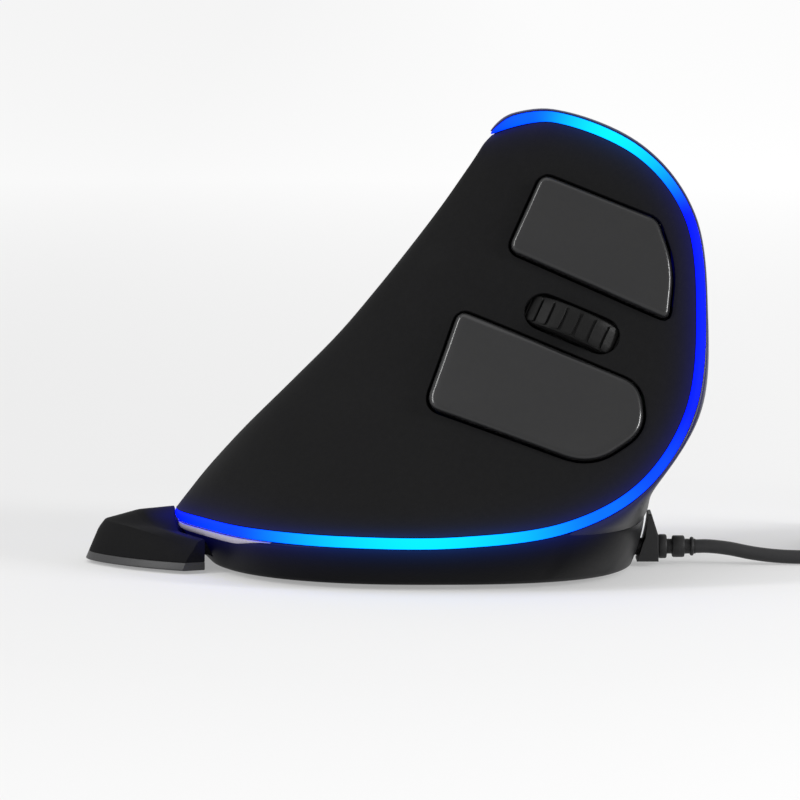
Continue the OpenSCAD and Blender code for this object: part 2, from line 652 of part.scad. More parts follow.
// Switch board, wheel carrier and keys
window_gap = [0.3, 0.8];
window_half = [wheel_r + window_gap[0], wheel_w / 2 + window_gap[1]];
board_outline = rounded(
  [[-26, -4.5], [-15, -18], [14, -18], [18.6, -6], [17.6, 7.8], [6, 16.5], [-12, 16.5], [-26, 3.5]],
  [2, 2, 3, 2, 2, 2, 2, 2]);
board_bottom = board_top - board_t;
pin_r = 0.5;
pin_step = 5.08;
pin_out = 1;
pin_len = board_t + pin_out;
pin_in = 0.2;
module switch_pins(y, r) {
  at_each([for (i = [-1:1]) [switch_x + i * pin_step, y]], board_top - pin_len)
    cylinder(r = r, h = pin_len + pin_in);
}
module switch_board() {
  color([0.05, 0.3, 0.15]) in_frame(finger) difference() {
    translate([0, 0, board_bottom]) linear_extrude(board_t) polygon(board_outline);
    bar([2 * window_half[0], 2 * window_half[1], board_t + 2 * past], [0, 0, board_bottom - past]);
    for (y = [left_switch_y, right_switch_y]) switch_pins(y, pin_r + screw_gap);
    at_each(switch_bosses, board_bottom - past) cylinder(r = board_hole_r, h = board_t + 2 * past);
  }
}
module switch_board_screws() {
  color("silver") in_frame(finger) at_each(switch_bosses, board_bottom)
    board_screw(board_t + boss_bore - past);
}
pocket_gap = 0.2;
module key_switch(y) {
  pocket = plunger_seat + key_travel + pocket_gap;
  in_frame(finger) {
    difference() {
      bar(switch_size, [switch_x, y, board_top]);
      bar([plunger_size[0] + 2 * pocket_gap, plunger_size[1] + 2 * pocket_gap, pocket + past],
        [switch_x, y, switch_top - pocket]);
    }
    switch_pins(y, pin_r);
  }
}
plunger_seat = 0.6;
module left_switch() { color([0.1, 0.1, 0.1]) key_switch(left_switch_y); }
module right_switch() { color([0.1, 0.1, 0.1]) key_switch(right_switch_y); }
module key_plunger(y) {
  in_frame(finger)
    bar([plunger_size[0], plunger_size[1], plunger_h + plunger_seat],
      [switch_x, y, switch_top - plunger_seat]);
}
module left_plunger() { color("white") key_plunger(left_switch_y); }
module right_plunger() { color("white") key_plunger(right_switch_y); }
// A key: cap, hollow underneath, with an arm back to its pivot and a nib over its switch
key_wall = 1.5;
nib_r = 1.5;
module key(outline, pivot, y) {
  in_frame(finger) {
    difference() {
      skin_cap(finger, finger_spot, outline, key_proud, key_deep);
      translate([0, 0, -key_deep - past]) linear_extrude(key_deep) offset(delta = -key_wall) polygon(outline);
    }
    translate([switch_x, y, nib_z]) cylinder(r = nib_r, h = -nib_z - key_wall / 2);
    translate([pivot[0], pivot[1] - barrel_len / 2, arm_z]) cube([arm_reach, barrel_len, arm_t]);
    translate([pivot[0] + arm_reach - arm_t, pivot[1] - barrel_len / 2, arm_z])
      cube([arm_t, barrel_len, -arm_z - key_deep + past]);
    cross_pin(barrel_r, barrel_len, [pivot[0], pivot[1], pivot_z]);
    cross_pin(pivot_r, barrel_len + 2 * stub_len, [pivot[0], pivot[1], pivot_z]);
  }
}
module left_key() { color([0.23, 0.23, 0.24]) key(left_outline, left_pivot, left_switch_y); }
module right_key() { color([0.22, 0.22, 0.23]) key(right_outline, right_pivot, right_switch_y); }

cradle_low = wheel_z - cradle_h / 2;
axle_out = 0.8;
axle_short = 0.4;
axle_ends = [-cheek_y - cheek_t - axle_out, encoder_y + encoder_size[1] - axle_short];
module wheel_cradle() {
  color([0.75, 0.75, 0.78]) in_frame(finger) difference() {
    union() {
      for (side = [-1, 1])
        bar([bar_x - cradle_rear + cheek_t, cheek_t, cradle_h],
          [(bar_x + cradle_rear + cheek_t) / 2, side * (cheek_y + cheek_t / 2), cradle_low]);
      bar([cheek_t, 2 * (cheek_y + cheek_t), cradle_low + cradle_h - tab_z], [bar_x + cheek_t / 2, 0, tab_z]);
      translate([bar_x, tact_at[1] - tact_r, tab_z]) cube([tact_at[0] + tact_r - bar_x, 2 * tact_r, tab_t]);
      cross_pin(cradle_barrel_r, 2 * (cheek_y + cheek_t), [cradle_rear, 0, cradle_z]);
      cross_pin(cradle_stub_r, 2 * (cheek_y + cheek_t + bracket_gap + bracket_t), [cradle_rear, 0, cradle_z]);
    }
    cross_pin(axle_r + run_gap, through, [0, 0, wheel_z]);
  }
}
tab_z = board_top + tact_size[2] + tact_h + tact_gap;
tab_t = 1.6;
tact_travel = 0.7;
module wheel_switch() {
  pocket = plunger_seat + tact_travel + pocket_gap;
  color([0.15, 0.15, 0.15]) in_frame(finger) difference() {
    bar(tact_size, [tact_at[0], tact_at[1], board_top]);
    at_each([tact_at], board_top + tact_size[2] - pocket)
      cylinder(r = tact_r + pocket_gap, h = pocket + past);
  }
}
module wheel_plunger() {
  color("white") in_frame(finger) at_each([tact_at], board_top + tact_size[2] - plunger_seat)
    cylinder(r = tact_r, h = plunger_seat + tact_h);
}
bracket_len = 6.4;
bracket_over = 2;
bracket_foot = 1.8;
module wheel_bracket() {
  ear_y = cheek_y + cheek_t + bracket_gap;
  front = cradle_rear + bracket_over;
  color([0.2, 0.2, 0.22]) in_frame(finger) difference() {
    union() {
      for (side = [-1, 1])
        bar([bracket_len, bracket_t, cradle_z + bracket_over - board_top],
          [front - bracket_len / 2, side * (ear_y + bracket_t / 2), board_top]);
      bar([bracket_t, 2 * (ear_y + bracket_t), bracket_foot],
        [front - bracket_len + bracket_t / 2, 0, board_top]);
    }
    cross_pin(cradle_stub_r + run_gap, through, [cradle_rear, 0, cradle_z]);
  }
}
module wheel_encoder() {
  color([0.12, 0.12, 0.13]) in_frame(finger) difference() {
    bar([encoder_size[0], encoder_size[1], wheel_z + encoder_size[0] / 2 - board_top],
      [0, encoder_y + encoder_size[1] / 2, board_top]);
    cross_pin(encoder_bore, through, [0, 0, wheel_z]);
  }
}
hub_r = wheel_r - tyre_t;
hub_holes = 6;
hub_hole_r = 1.75;
hub_hole_at = 5;
hub_inset = 0.2;
module wheel_hub() {
  color([0.3, 0.3, 0.32]) in_frame(finger) translate([0, 0, wheel_z]) rotate([-90, 0, 0]) {
    difference() {
      translate([0, 0, -wheel_w / 2 + hub_inset]) cylinder(r = hub_r - run_gap, h = wheel_w - 2 * hub_inset);
      for (i = [0:hub_holes - 1]) rotate(360 / hub_holes * i) translate([hub_hole_at, 0, -wheel_w])
        cylinder(r = hub_hole_r, h = 2 * wheel_w);
    }
    translate([0, 0, axle_ends[0]]) cylinder(r = axle_r, h = axle_ends[1] - axle_ends[0]);
  }
}
groove_w = 0.7;
groove_d = 0.45;
tyre_round = 0.7;
module wheel_tyre() {
  color([0.1, 0.1, 0.1]) in_frame(finger) translate([0, 0, wheel_z]) rotate([-90, 0, 0]) difference() {
    rotate_extrude() polygon([
      [hub_r, -wheel_w / 2], [wheel_r - tyre_round, -wheel_w / 2], [wheel_r, -wheel_w / 2 + tyre_round],
      [wheel_r, wheel_w / 2 - tyre_round], [wheel_r - tyre_round, wheel_w / 2], [hub_r, wheel_w / 2]]);
    for (i = [0:groove_count - 1]) rotate(360 / groove_count * i)
      translate([wheel_r - groove_d, -groove_w / 2, -wheel_w]) cube([groove_d + past, groove_w, 2 * wheel_w]);
  }
}

// Thumb buttons and their board
thumb_board_bottom = thumb_board_top - board_t;
thumb_outline = rounded(
  [[-10, -1.5], [0, -7], [9, -7], [18.5, -1.5], [18.5, 10], [15, 16], [-7, 16.5], [-10.5, 12]],
  [2, 2, 2, 2, 3, 2, 2, 2]);
button_spots = [forward_at, back_at, speed_at];
module thumb_board() {
  color([0.05, 0.3, 0.15]) in_frame(thumb) difference() {
    translate([0, 0, thumb_board_bottom]) linear_extrude(board_t) polygon(thumb_outline);
    at_each(thumb_bosses, thumb_board_bottom - past) cylinder(r = board_hole_r, h = board_t + 2 * past);
  }
}
module thumb_board_screws() {
  color("silver") in_frame(thumb) at_each(thumb_bosses, thumb_board_bottom)
    board_screw(board_t + thumb_bore - past);
}
module thumb_switches() {
  pocket = plunger_seat + button_travel + pocket_gap;
  color([0.15, 0.15, 0.15]) in_frame(thumb) at_each(button_spots, thumb_board_top) difference() {
    bar(thumb_tact, [0, 0, 0]);
    translate([0, 0, thumb_tact[2] - pocket]) cylinder(r = stem_r + pocket_gap, h = pocket + past);
  }
}
module thumb_plunger(p) {
  in_frame(thumb) at_each([p], thumb_board_top + thumb_tact[2] - plunger_seat)
    cylinder(r = stem_r, h = plunger_seat + tact_h);
}
module forward_plunger() { color("white") thumb_plunger(forward_at); }
module back_plunger() { color("white") thumb_plunger(back_at); }
module speed_plunger() { color("white") thumb_plunger(speed_at); }
module thumb_button(outline, p) {
  in_frame(thumb) {
    skin_cap(thumb, thumb_spot, outline, thumb_proud, button_deep);
    translate([0, 0, -button_deep - flange_t]) linear_extrude(flange_t)
      offset(delta = flange_lip) polygon(outline);
    at_each([p], stem_z) cylinder(r = stem_r, h = -button_deep - stem_z);
  }
}
module forward_button() { color([0.25, 0.25, 0.26]) thumb_button(forward_outline(), forward_at); }
module back_button() { color([0.25, 0.25, 0.26]) thumb_button(back_outline(), back_at); }
module speed_button() { color([0.25, 0.25, 0.26]) thumb_button(speed_outline(), speed_at); }

// Flat leads: a ribbon follows its route, turning from one crosswise direction to another
ribbon_w = 5;
ribbon_t = 0.4;
module ribbon(route, from, to) {
  n = len(route);
  loft([for (i = [0:n - 1])
    let (t = unit(route[min(i + 1, n - 1)] - route[max(i - 1, 0)]), d = lerp(from, to, i / (n - 1)),
      a = unit(d - (d * t) * t), b = cross(t, a))
    [for (c = corners(ribbon_w, ribbon_t)) route[i] + a * c[0] + b * c[1]]]);
}
ribbon_lift = ribbon_t / 2 + 0.1;
module finger_ribbon() {
  start = [for (y = [-15, -18, -21]) from_frame(finger, [-4, y, board_bottom - ribbon_lift])];
  color([0.8, 0.8, 0.78]) ribbon(concat(start, [[20, -13, 16], [20, -12.9, 11], [20, -11.8, main_top + 1.2],
    [20, -9.8, main_top + ribbon_lift + 0.15], [20, -6.5, main_top + ribbon_lift]]), finger[1], [1, 0, 0]);
}
module thumb_ribbon() {
  start = [for (y = [10, 14, 17, 20]) from_frame(thumb, [3, y, thumb_board_bottom - ribbon_lift])];
  color([0.8, 0.8, 0.78]) ribbon(concat(start, [[22.6, 7, 19], [22.2, 7.6, 13], [22, 7, main_top + 2],
    [22, 5.4, main_top + 0.6], [22, 3.4, main_top + ribbon_lift], [22, 0.5, main_top + ribbon_lift]]),
    thumb[1], [1, 0, 0]);
}

// Palm rest: sections in upright planes through the foot's centre, from the thumb side to the finger side
palm_span = 1.1;
palm_steps = 12;
palm_stations = [for (i = [-palm_steps:palm_steps]) palm_span * i / palm_steps];
palm_taper = 0.75;
palm_tip = 3;
palm_lean = 0.43;
palm_droop = 4.4;
palm_lip = 1;
palm_crown = 0.5;
// How far round from the middle the rim has dipped
palm_dip = 8;
palm_z = palm_pad_t + palm_plate_t;
function palm_turn(s) = 180 - abs(bearing(edge_at(s)));
palm_wide = 25;
function palm_fall(s) = pow(palm_turn(s) / palm_wide, 2);
function from_centre(p) = norm([p[0] - foot_cx, p[1]]);
function palm_rim(s) = from_centre(edge_at(s) + guide_crown * edge_out(s)) + palm_gap;
function palm_out(s, z) = palm_reach - palm_taper * (sqrt(pow(palm_turn(s), 2) + pow(palm_tip, 2)) - palm_tip)
  - palm_lean * (z - palm_pad_t);
function palm_side(s, z) = max(palm_out(s, z), palm_rim(s) + palm_lip);
function palm_points(s, section) =
  let (a = bearing(edge_at(s))) [for (q = section) [foot_cx + q[0] * cos(a), q[0] * sin(a), q[1]]];
function palm_top_section(s) =
  let (hi = lerp(palm_h, palm_side_h, smooth(palm_turn(s) / palm_dip)), r = palm_rim(s),
    lo = palm_rear_h - palm_droop * palm_fall(s), brow = lo - 1.5 * palm_lip, out = palm_side(s, lo))
  [[r, palm_z], [r, hi], [(r + out) / 2, (hi + lo) / 2 + palm_crown], [out - palm_lip / 2, lo],
    [palm_side(s, brow), brow], [palm_side(s, palm_z), palm_z]];
module tongue(side, gap) {
  rear = foot_cx - foot_len / 2;
  translate([rear - tongue_root, side * tongue_at - tongue_w / 2 - gap, tongue_z - gap])
    cube([tongue_root + tongue_reach + gap, tongue_w + 2 * gap, tongue_t + 2 * gap]);
}
module palm_rest_top() {
  color([0.17, 0.17, 0.18]) {
    loft([for (s = palm_stations) palm_points(s, palm_top_section(s))]);
    for (side = [-1, 1]) tongue(side, 0);
  }
}
module palm_rest_base() {
  color([0.29, 0.29, 0.3]) loft([for (s = palm_stations) palm_points(s,
    [[palm_rim(s), palm_pad_t], [palm_rim(s), palm_z], [palm_side(s, palm_z), palm_z],
      [palm_side(s, palm_pad_t), palm_pad_t]])]);
}
palm_pads_at = [[-14.5, 0], [-9, -5.5], [-9, 5.5]];
palm_pad_size = [8, 4];
module palm_rest_pads() {
  color([0.2, 0.2, 0.22]) translate([foot_cx - foot_len / 2, 0, 0]) at_each(palm_pads_at, 0) rotate(90)
    linear_extrude(palm_pad_t) polygon(slot_outline(palm_pad_size[0], palm_pad_size[1]));
}

// Cable: boot, free stretch, coil in four layers, tail and plug
tie_t = 0.6;
tie_w = 4;
tie_gap = 0.3;
tie_round = 1;
coil_z = cable_d / 2 + tie_gap + tie_t;
cable_route = [[52.6, -4, 3.2], [55, -4, 3.2], [58.5, -4, 2.8], [62.5, -4, 2], [66.5, -4, 1.5],
  [70.5, -4, 1.3], [75, -4, 1.3], [80, -4, 1.3], [85, -4, 1.6], [89, -4, coil_z], [92, -4, coil_z]];
cable_out = cable_route[0][0];
boot_in = 38.5;
boot_neck = 1.3;
boot_ribs = [[-6.5, -5, 2.1], [-4.1, -1.9, 1.9], [-1, -0.3, 1.65]];
boot_flange = [6.4, 9.2];
boot_stand = 0.8;
boot_top_t = 0.6;
boot_shoulder = 0.6;
module cable_boot() {
  low = base_z + screw_gap;
  nose = cable_out + boot_ribs[0][0];
  lows = [for (k = [0:4]) lerp(low, boot_flange[1], k / 4)];
  color([0.13, 0.13, 0.14]) {
    translate([0, cable_y, cable_z]) rotate([0, 90, 0]) rotate_extrude() polygon(concat(
      [[0, boot_in], [neck_r, boot_in], [neck_r, cable_out + boot_ribs[0][0] - boot_shoulder]],
      [for (b = boot_ribs) each [[boot_neck, cable_out + b[0]], [b[2], cable_out + b[0]],
        [b[2], cable_out + b[1]], [boot_neck, cable_out + b[1]]]],
      [[boot_neck, cable_out], [0, cable_out]]));
    translate([0, cable_y + boot_flange[0] / 2, 0]) rotate([90, 0, 0]) linear_extrude(boot_flange[0])
      polygon(concat([for (z = lows) [front_x(z) + boot_stand, z]],
        [[front_x(boot_flange[1]) + boot_stand + boot_top_t, boot_flange[1]],
          [nose, cable_z + boot_ribs[0][2]], [nose, low]]));
  }
}
// A round tube along a route, its end faces square to it
module tube(route, r, sides) {
  n = len(route);
  loft([for (i = [0:n - 1])
    let (t = unit(route[min(i + 1, n - 1)] - route[max(i - 1, 0)]), a = unit(cross([0, 0, 1], t)),
      b = cross(t, a))
    [for (j = [0:sides - 1]) route[i] + r * (cos(360 * j / sides) * a + sin(360 * j / sides) * b)]]);
}
lead_route = [[38.5, -4, 3.2], [36.8, -4, 3.2], [35.3, -4, 4.1], [34.4, -4, 6], [33.7, -4, 8.2],
  [32.6, -4, 9.4], [31, -4, 9.4]];
lead_r = 0.9;
module inner_lead() { color([0.2, 0.2, 0.2]) tube(lead_route, lead_r, 8); }
module usb_cable() { color([0.18, 0.18, 0.19]) tube(cable_route, cable_d / 2, 8); }
layers = 4;
climb_turns = 0.5;
layer_len = layer_turns + climb_turns;
first_run = layer_turns + climb_turns / 2;
coil_turns = layers * layer_len - climb_turns * 1.5;
coil_out = coil_r + coil_pitch * first_run / 2;
coil_middle = [cable_route[len(cable_route) - 1][0] + cable_d, cable_y + coil_out];
function coil_radius(q) =
  let (u = q - first_run, k = floor(u / layer_len), v = u - k * layer_len)
  coil_out - coil_pitch * first_run + coil_pitch * (u < 0 ? -u : k % 2 == 0 ? v : layer_len - v);
function coil_height(q) =
  let (k = floor(q / layer_len), v = q - k * layer_len)
  coil_z + coil_pitch * (k + smooth((v - layer_turns) / climb_turns));
function coil_at(q) =
  let (a = 360 * q - 90, r = coil_radius(q))
  [coil_middle[0] + r * cos(a), coil_middle[1] + r * sin(a), coil_height(q)];
loop_rings = 24;
coil_end = coil_at(coil_turns) + [0, cable_d, 0];
module cable_coil() {
  turns = [for (i = [0:round(coil_turns * loop_rings)]) coil_at(i / loop_rings)];
  n = len(turns);
  apart = [for (i = [0:n - loop_rings])
    min([for (j = [i + loop_rings / 2:n - 1]) norm(turns[i] - turns[j])])];
  gap = min(apart) - cable_d;
  echo(least_gap_of_the_coil = gap);
  color([0.18, 0.18, 0.19]) tube(concat([coil_at(0) - [cable_d, 0, 0]], turns, [coil_end]), cable_d / 2, 6);
}
plug_h = 7.6;
plug_w = 11.6;
plug_len = 25;
tail_len = 24;
tail_z = plug_h / 2 + screw_gap;
tail_steps = [[0, 0], [0.12, 0], [0.3, 0.09], [0.5, 0.44], [0.7, 0.8], [0.88, 1], [1, 1]];
plug_at = [coil_end[0], coil_end[1] + tail_len, tail_z];
module cable_tail() {
  color([0.18, 0.18, 0.19])
    tube([for (t = tail_steps) coil_end + [0, t[0] * tail_len, t[1] * (tail_z - coil_end[2])]],
      cable_d / 2, 8);
}
module cable_tie() {
  low = coil_z - cable_d / 2 - tie_gap;
  high = coil_z + (layers - 1) * coil_pitch + cable_d / 2 + tie_gap;
  near = coil_radius(first_run + climb_turns / 2) - cable_d / 2 - 2 * tie_gap;
  far = coil_out + cable_d / 2 + tie_gap;
  function band(grow) =
    let (r = tie_round + grow)
    rounded(shift(corners(far - near + 2 * grow, high - low + 2 * grow), [far + near, high + low] / 2),
      [r, r, r, r]);
  color([0.1, 0.1, 0.1]) translate([coil_middle[0] - tie_w / 2, coil_middle[1], 0]) rotate([90, 0, 90])
    linear_extrude(tie_w) difference() {
      polygon(band(tie_t));
      polygon(band(0));
    }
}
// Plug grip sections: distance from the cable, width and height
grip_sections = [[0, 4, 4], [5, 5, 4.6], [6.5, 8.6, 6.4], [9, plug_w - 0.4, plug_h - 0.2],
  [12, plug_w, plug_h], [plug_len - 1, plug_w, plug_h], [plug_len, plug_w - 0.8, plug_h - 0.8]];
grip_round = 0.45;
module usb_plug_grip() {
  color([0.15, 0.15, 0.16]) loft([for (g = grip_sections)
    let (r = min(g[1], g[2]) * grip_round)
    [for (q = rounded(corners(g[1], g[2]), [r, r, r, r])) plug_at + [-q[0], g[0], q[1]]]]);
}
shell_size = [12, 12, 4.5];
shell_wall = 0.4;
shell_hole = [2.2, 2.4];
shell_hole_at = [2.4, 6.6];
module usb_plug_shell() {
  color("silver") translate(plug_at + [0, plug_len, -shell_size[2] / 2]) difference() {
    translate([-shell_size[0] / 2, 0, 0]) cube(shell_size);
    translate([-shell_size[0] / 2 + shell_wall, -past, shell_wall])
      cube([shell_size[0] - 2 * shell_wall, shell_size[1] + 2 * past, shell_size[2] - 2 * shell_wall]);
    for (side = [-1, 1])
      bar([shell_hole[0], shell_hole[1], through], [side * shell_hole_at[0], shell_hole_at[1], -through / 2]);
  }
}
tongue_size = [10.8, 10.6, 1.8];
module usb_plug_tongue() {
  top = shell_size[2] / 2 - shell_wall - run_gap;
  color([0.9, 0.9, 0.88]) translate(plug_at + [-tongue_size[0] / 2, plug_len, top - tongue_size[2]])
    cube(tongue_size);
}

base_shell();
finger_cover();
thumb_cover();
front_cover();
light_guide();
led_strip();
light_leds();
glide_feet();
base_screws();
main_board();
controller_chip();
sensor_chip();
sensor_lens();
main_board_screws();
cable_socket();
switch_board();
switch_board_screws();
left_switch();
right_switch();
wheel_switch();
wheel_encoder();
wheel_bracket();
finger_ribbon();
thumb_board();
thumb_switches();
thumb_board_screws();
thumb_ribbon();
cable_boot();
inner_lead();
usb_cable();
cable_coil();
cable_tail();
cable_tie();
usb_plug_grip();
usb_plug_shell();
usb_plug_tongue();
left_key();
left_plunger();
right_key();
right_plunger();
wheel_plunger();
wheel_cradle();
wheel_hub();
wheel_tyre();
forward_button();
forward_plunger();
back_button();
back_plunger();
speed_button();
speed_plunger();
palm_rest_top();
palm_rest_base();
palm_rest_pads();
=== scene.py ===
"""Looks of a vertical computer mouse with a lit edge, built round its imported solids.

Sizes in the classes below are millimetres, as in the part's source; meshes are made in metres.
"""

import logging
import math
from dataclasses import dataclass, field
from enum import Enum
from typing import Optional, Sequence

import bmesh
import bpy
import numpy as np
from mathutils import Matrix, Vector
from mathutils.kdtree import KDTree


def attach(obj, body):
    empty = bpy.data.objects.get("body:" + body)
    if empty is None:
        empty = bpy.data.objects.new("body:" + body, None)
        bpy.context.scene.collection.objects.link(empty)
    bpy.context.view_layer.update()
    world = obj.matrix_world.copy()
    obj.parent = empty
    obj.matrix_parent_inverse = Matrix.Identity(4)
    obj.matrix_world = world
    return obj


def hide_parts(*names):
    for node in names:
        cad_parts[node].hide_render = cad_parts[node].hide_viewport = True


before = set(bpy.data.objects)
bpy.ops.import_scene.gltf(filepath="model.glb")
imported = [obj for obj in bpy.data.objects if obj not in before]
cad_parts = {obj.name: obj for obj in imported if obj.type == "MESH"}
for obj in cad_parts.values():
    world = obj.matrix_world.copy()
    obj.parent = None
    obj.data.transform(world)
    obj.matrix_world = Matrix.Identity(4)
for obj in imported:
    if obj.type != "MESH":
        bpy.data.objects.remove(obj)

LOG = logging.getLogger("mouse")
MM = 0.001
SCREWS_AT = ((-12.0, -22.0), (-12.0, 22.0), (10.0, -28.0), (10.0, 28.0))
# What the edge's greens are divided by in the painted glow: the strip's light on the plastic next to it,
# painted as emission
PAINTED_GLOW_DIM = 6.0
Array = np.ndarray
Colour = tuple[float, float, float]
Triple = tuple[float, float, float]


class Body(str, Enum):
    """The bodies that pieces ride on."""

    MOUSE = "mouse"
    LEFT = "left_button"
    RIGHT = "right_button"
    WHEEL = "scroll_wheel"
    FORWARD = "forward"
    BACK = "back"
    SPEED = "speed"
    PALM = "palm_rest"


# Points and curves

def unit(v: Array) -> Array:
    """Vectors of length one along the last axis."""
    return v / np.maximum(np.linalg.norm(v, axis=-1, keepdims=True), 1e-12)


def lerp(a: Array, b: Array, t: Array) -> Array:
    """Straight blend from a to b."""
    return a + (b - a) * t


def smooth(t: Array) -> Array:
    """A blend weight that starts and ends level."""
    c = np.clip(t, 0.0, 1.0)
    return c * c * (3 - 2 * c)


def dot(a: Array, b: Array) -> Array:
    """Scalar products along the last axis, kept as a column."""
    return np.sum(a * b, axis=-1, keepdims=True)


def through_four(a: Array, b: Array, c: Array, d: Array, t: Array) -> Array:
    """The curve stretch from b to c that leans on its neighbours a and d."""
    return 0.5 * (2 * b + (c - a) * t + (2 * a - 5 * b + 4 * c - d) * t * t
                  + (3 * b - a - 3 * c + d) * t * t * t)


def bezier(a: Array, b: Array, c: Array, d: Array, t: Array) -> Array:
    """A cubic curve with handles b and c."""
    u = 1 - t
    return a * u**3 + b * 3 * u * u * t + c * 3 * u * t * t + d * t**3


def curve_at(points: Array, s: Array) -> Array:
    """An open curve through the points, at the fractional index s.

    Args:
        points: the points, one a row.
        s: places along the curve.

    Returns:
        One point for each place.
    """
    s = np.asarray(s, float)
    ends = np.concatenate([[2 * points[0] - points[1]], points, [2 * points[-1] - points[-2]]])
    i = np.clip(np.floor(s).astype(int), 0, len(points) - 2)
    t = (s - i)[..., None] if points.ndim > 1 else s - i
    return through_four(ends[i], ends[i + 1], ends[i + 2], ends[i + 3], t)


def rounded(corners: Sequence[Sequence[float]], radii: Sequence[float], parts: int = 8) -> Array:
    """An outline with each corner rounded by its own radius.

    Args:
        corners: the corners in order.
        radii: how far from each corner its rounding starts.
        parts: steps in each rounding.

    Returns:
        The outline's points.
    """
    pts = np.asarray(corners, float)
    n = len(pts)
    t = np.linspace(0, 1, parts + 1)[:, None]
    out = []
    for i, radius in enumerate(radii):
        a = pts[i] + radius * unit(pts[i - 1] - pts[i])
        b = pts[i] + radius * unit(pts[(i + 1) % n] - pts[i])
        out.append(a * (1 - t) ** 2 + pts[i] * 2 * t * (1 - t) + b * t**2)
    return np.concatenate(out)


def rectangle(length: float, width: float) -> Array:
    """The corners of a centred rectangle."""
    return np.array([[-length, -width], [length, -width], [length, width], [-length, width]]) / 2


def slot_outline(length: float, width: float, parts: int = 12) -> Array:
    """A long hole's outline, with round ends."""
    a = np.radians(np.linspace(-90, 90, parts + 1))
    end = np.stack([(length - width) / 2 + width / 2 * np.cos(a), width / 2 * np.sin(a)], -1)
    return np.concatenate([end, -end])


def evened(outline: Array, step: float) -> Array:
    """The same closed outline with points about one step apart."""
    closed = np.concatenate([outline, outline[:1]])
    run = np.concatenate([[0], np.cumsum(np.linalg.norm(np.diff(closed, axis=0), axis=1))])
    places = np.linspace(0, run[-1], int(run[-1] / step) + 1)[:-1]
    return np.stack([np.interp(places, run, closed[:, k]) for k in range(closed.shape[1])], -1)


def inset(outline: Array, depth: float) -> Array:
    """A counter-clockwise outline moved inwards along its own normals."""
    along = unit(np.roll(outline, -1, axis=0) - np.roll(outline, 1, axis=0))
    return outline + depth * np.stack([-along[:, 1], along[:, 0]], -1)


# Meshes

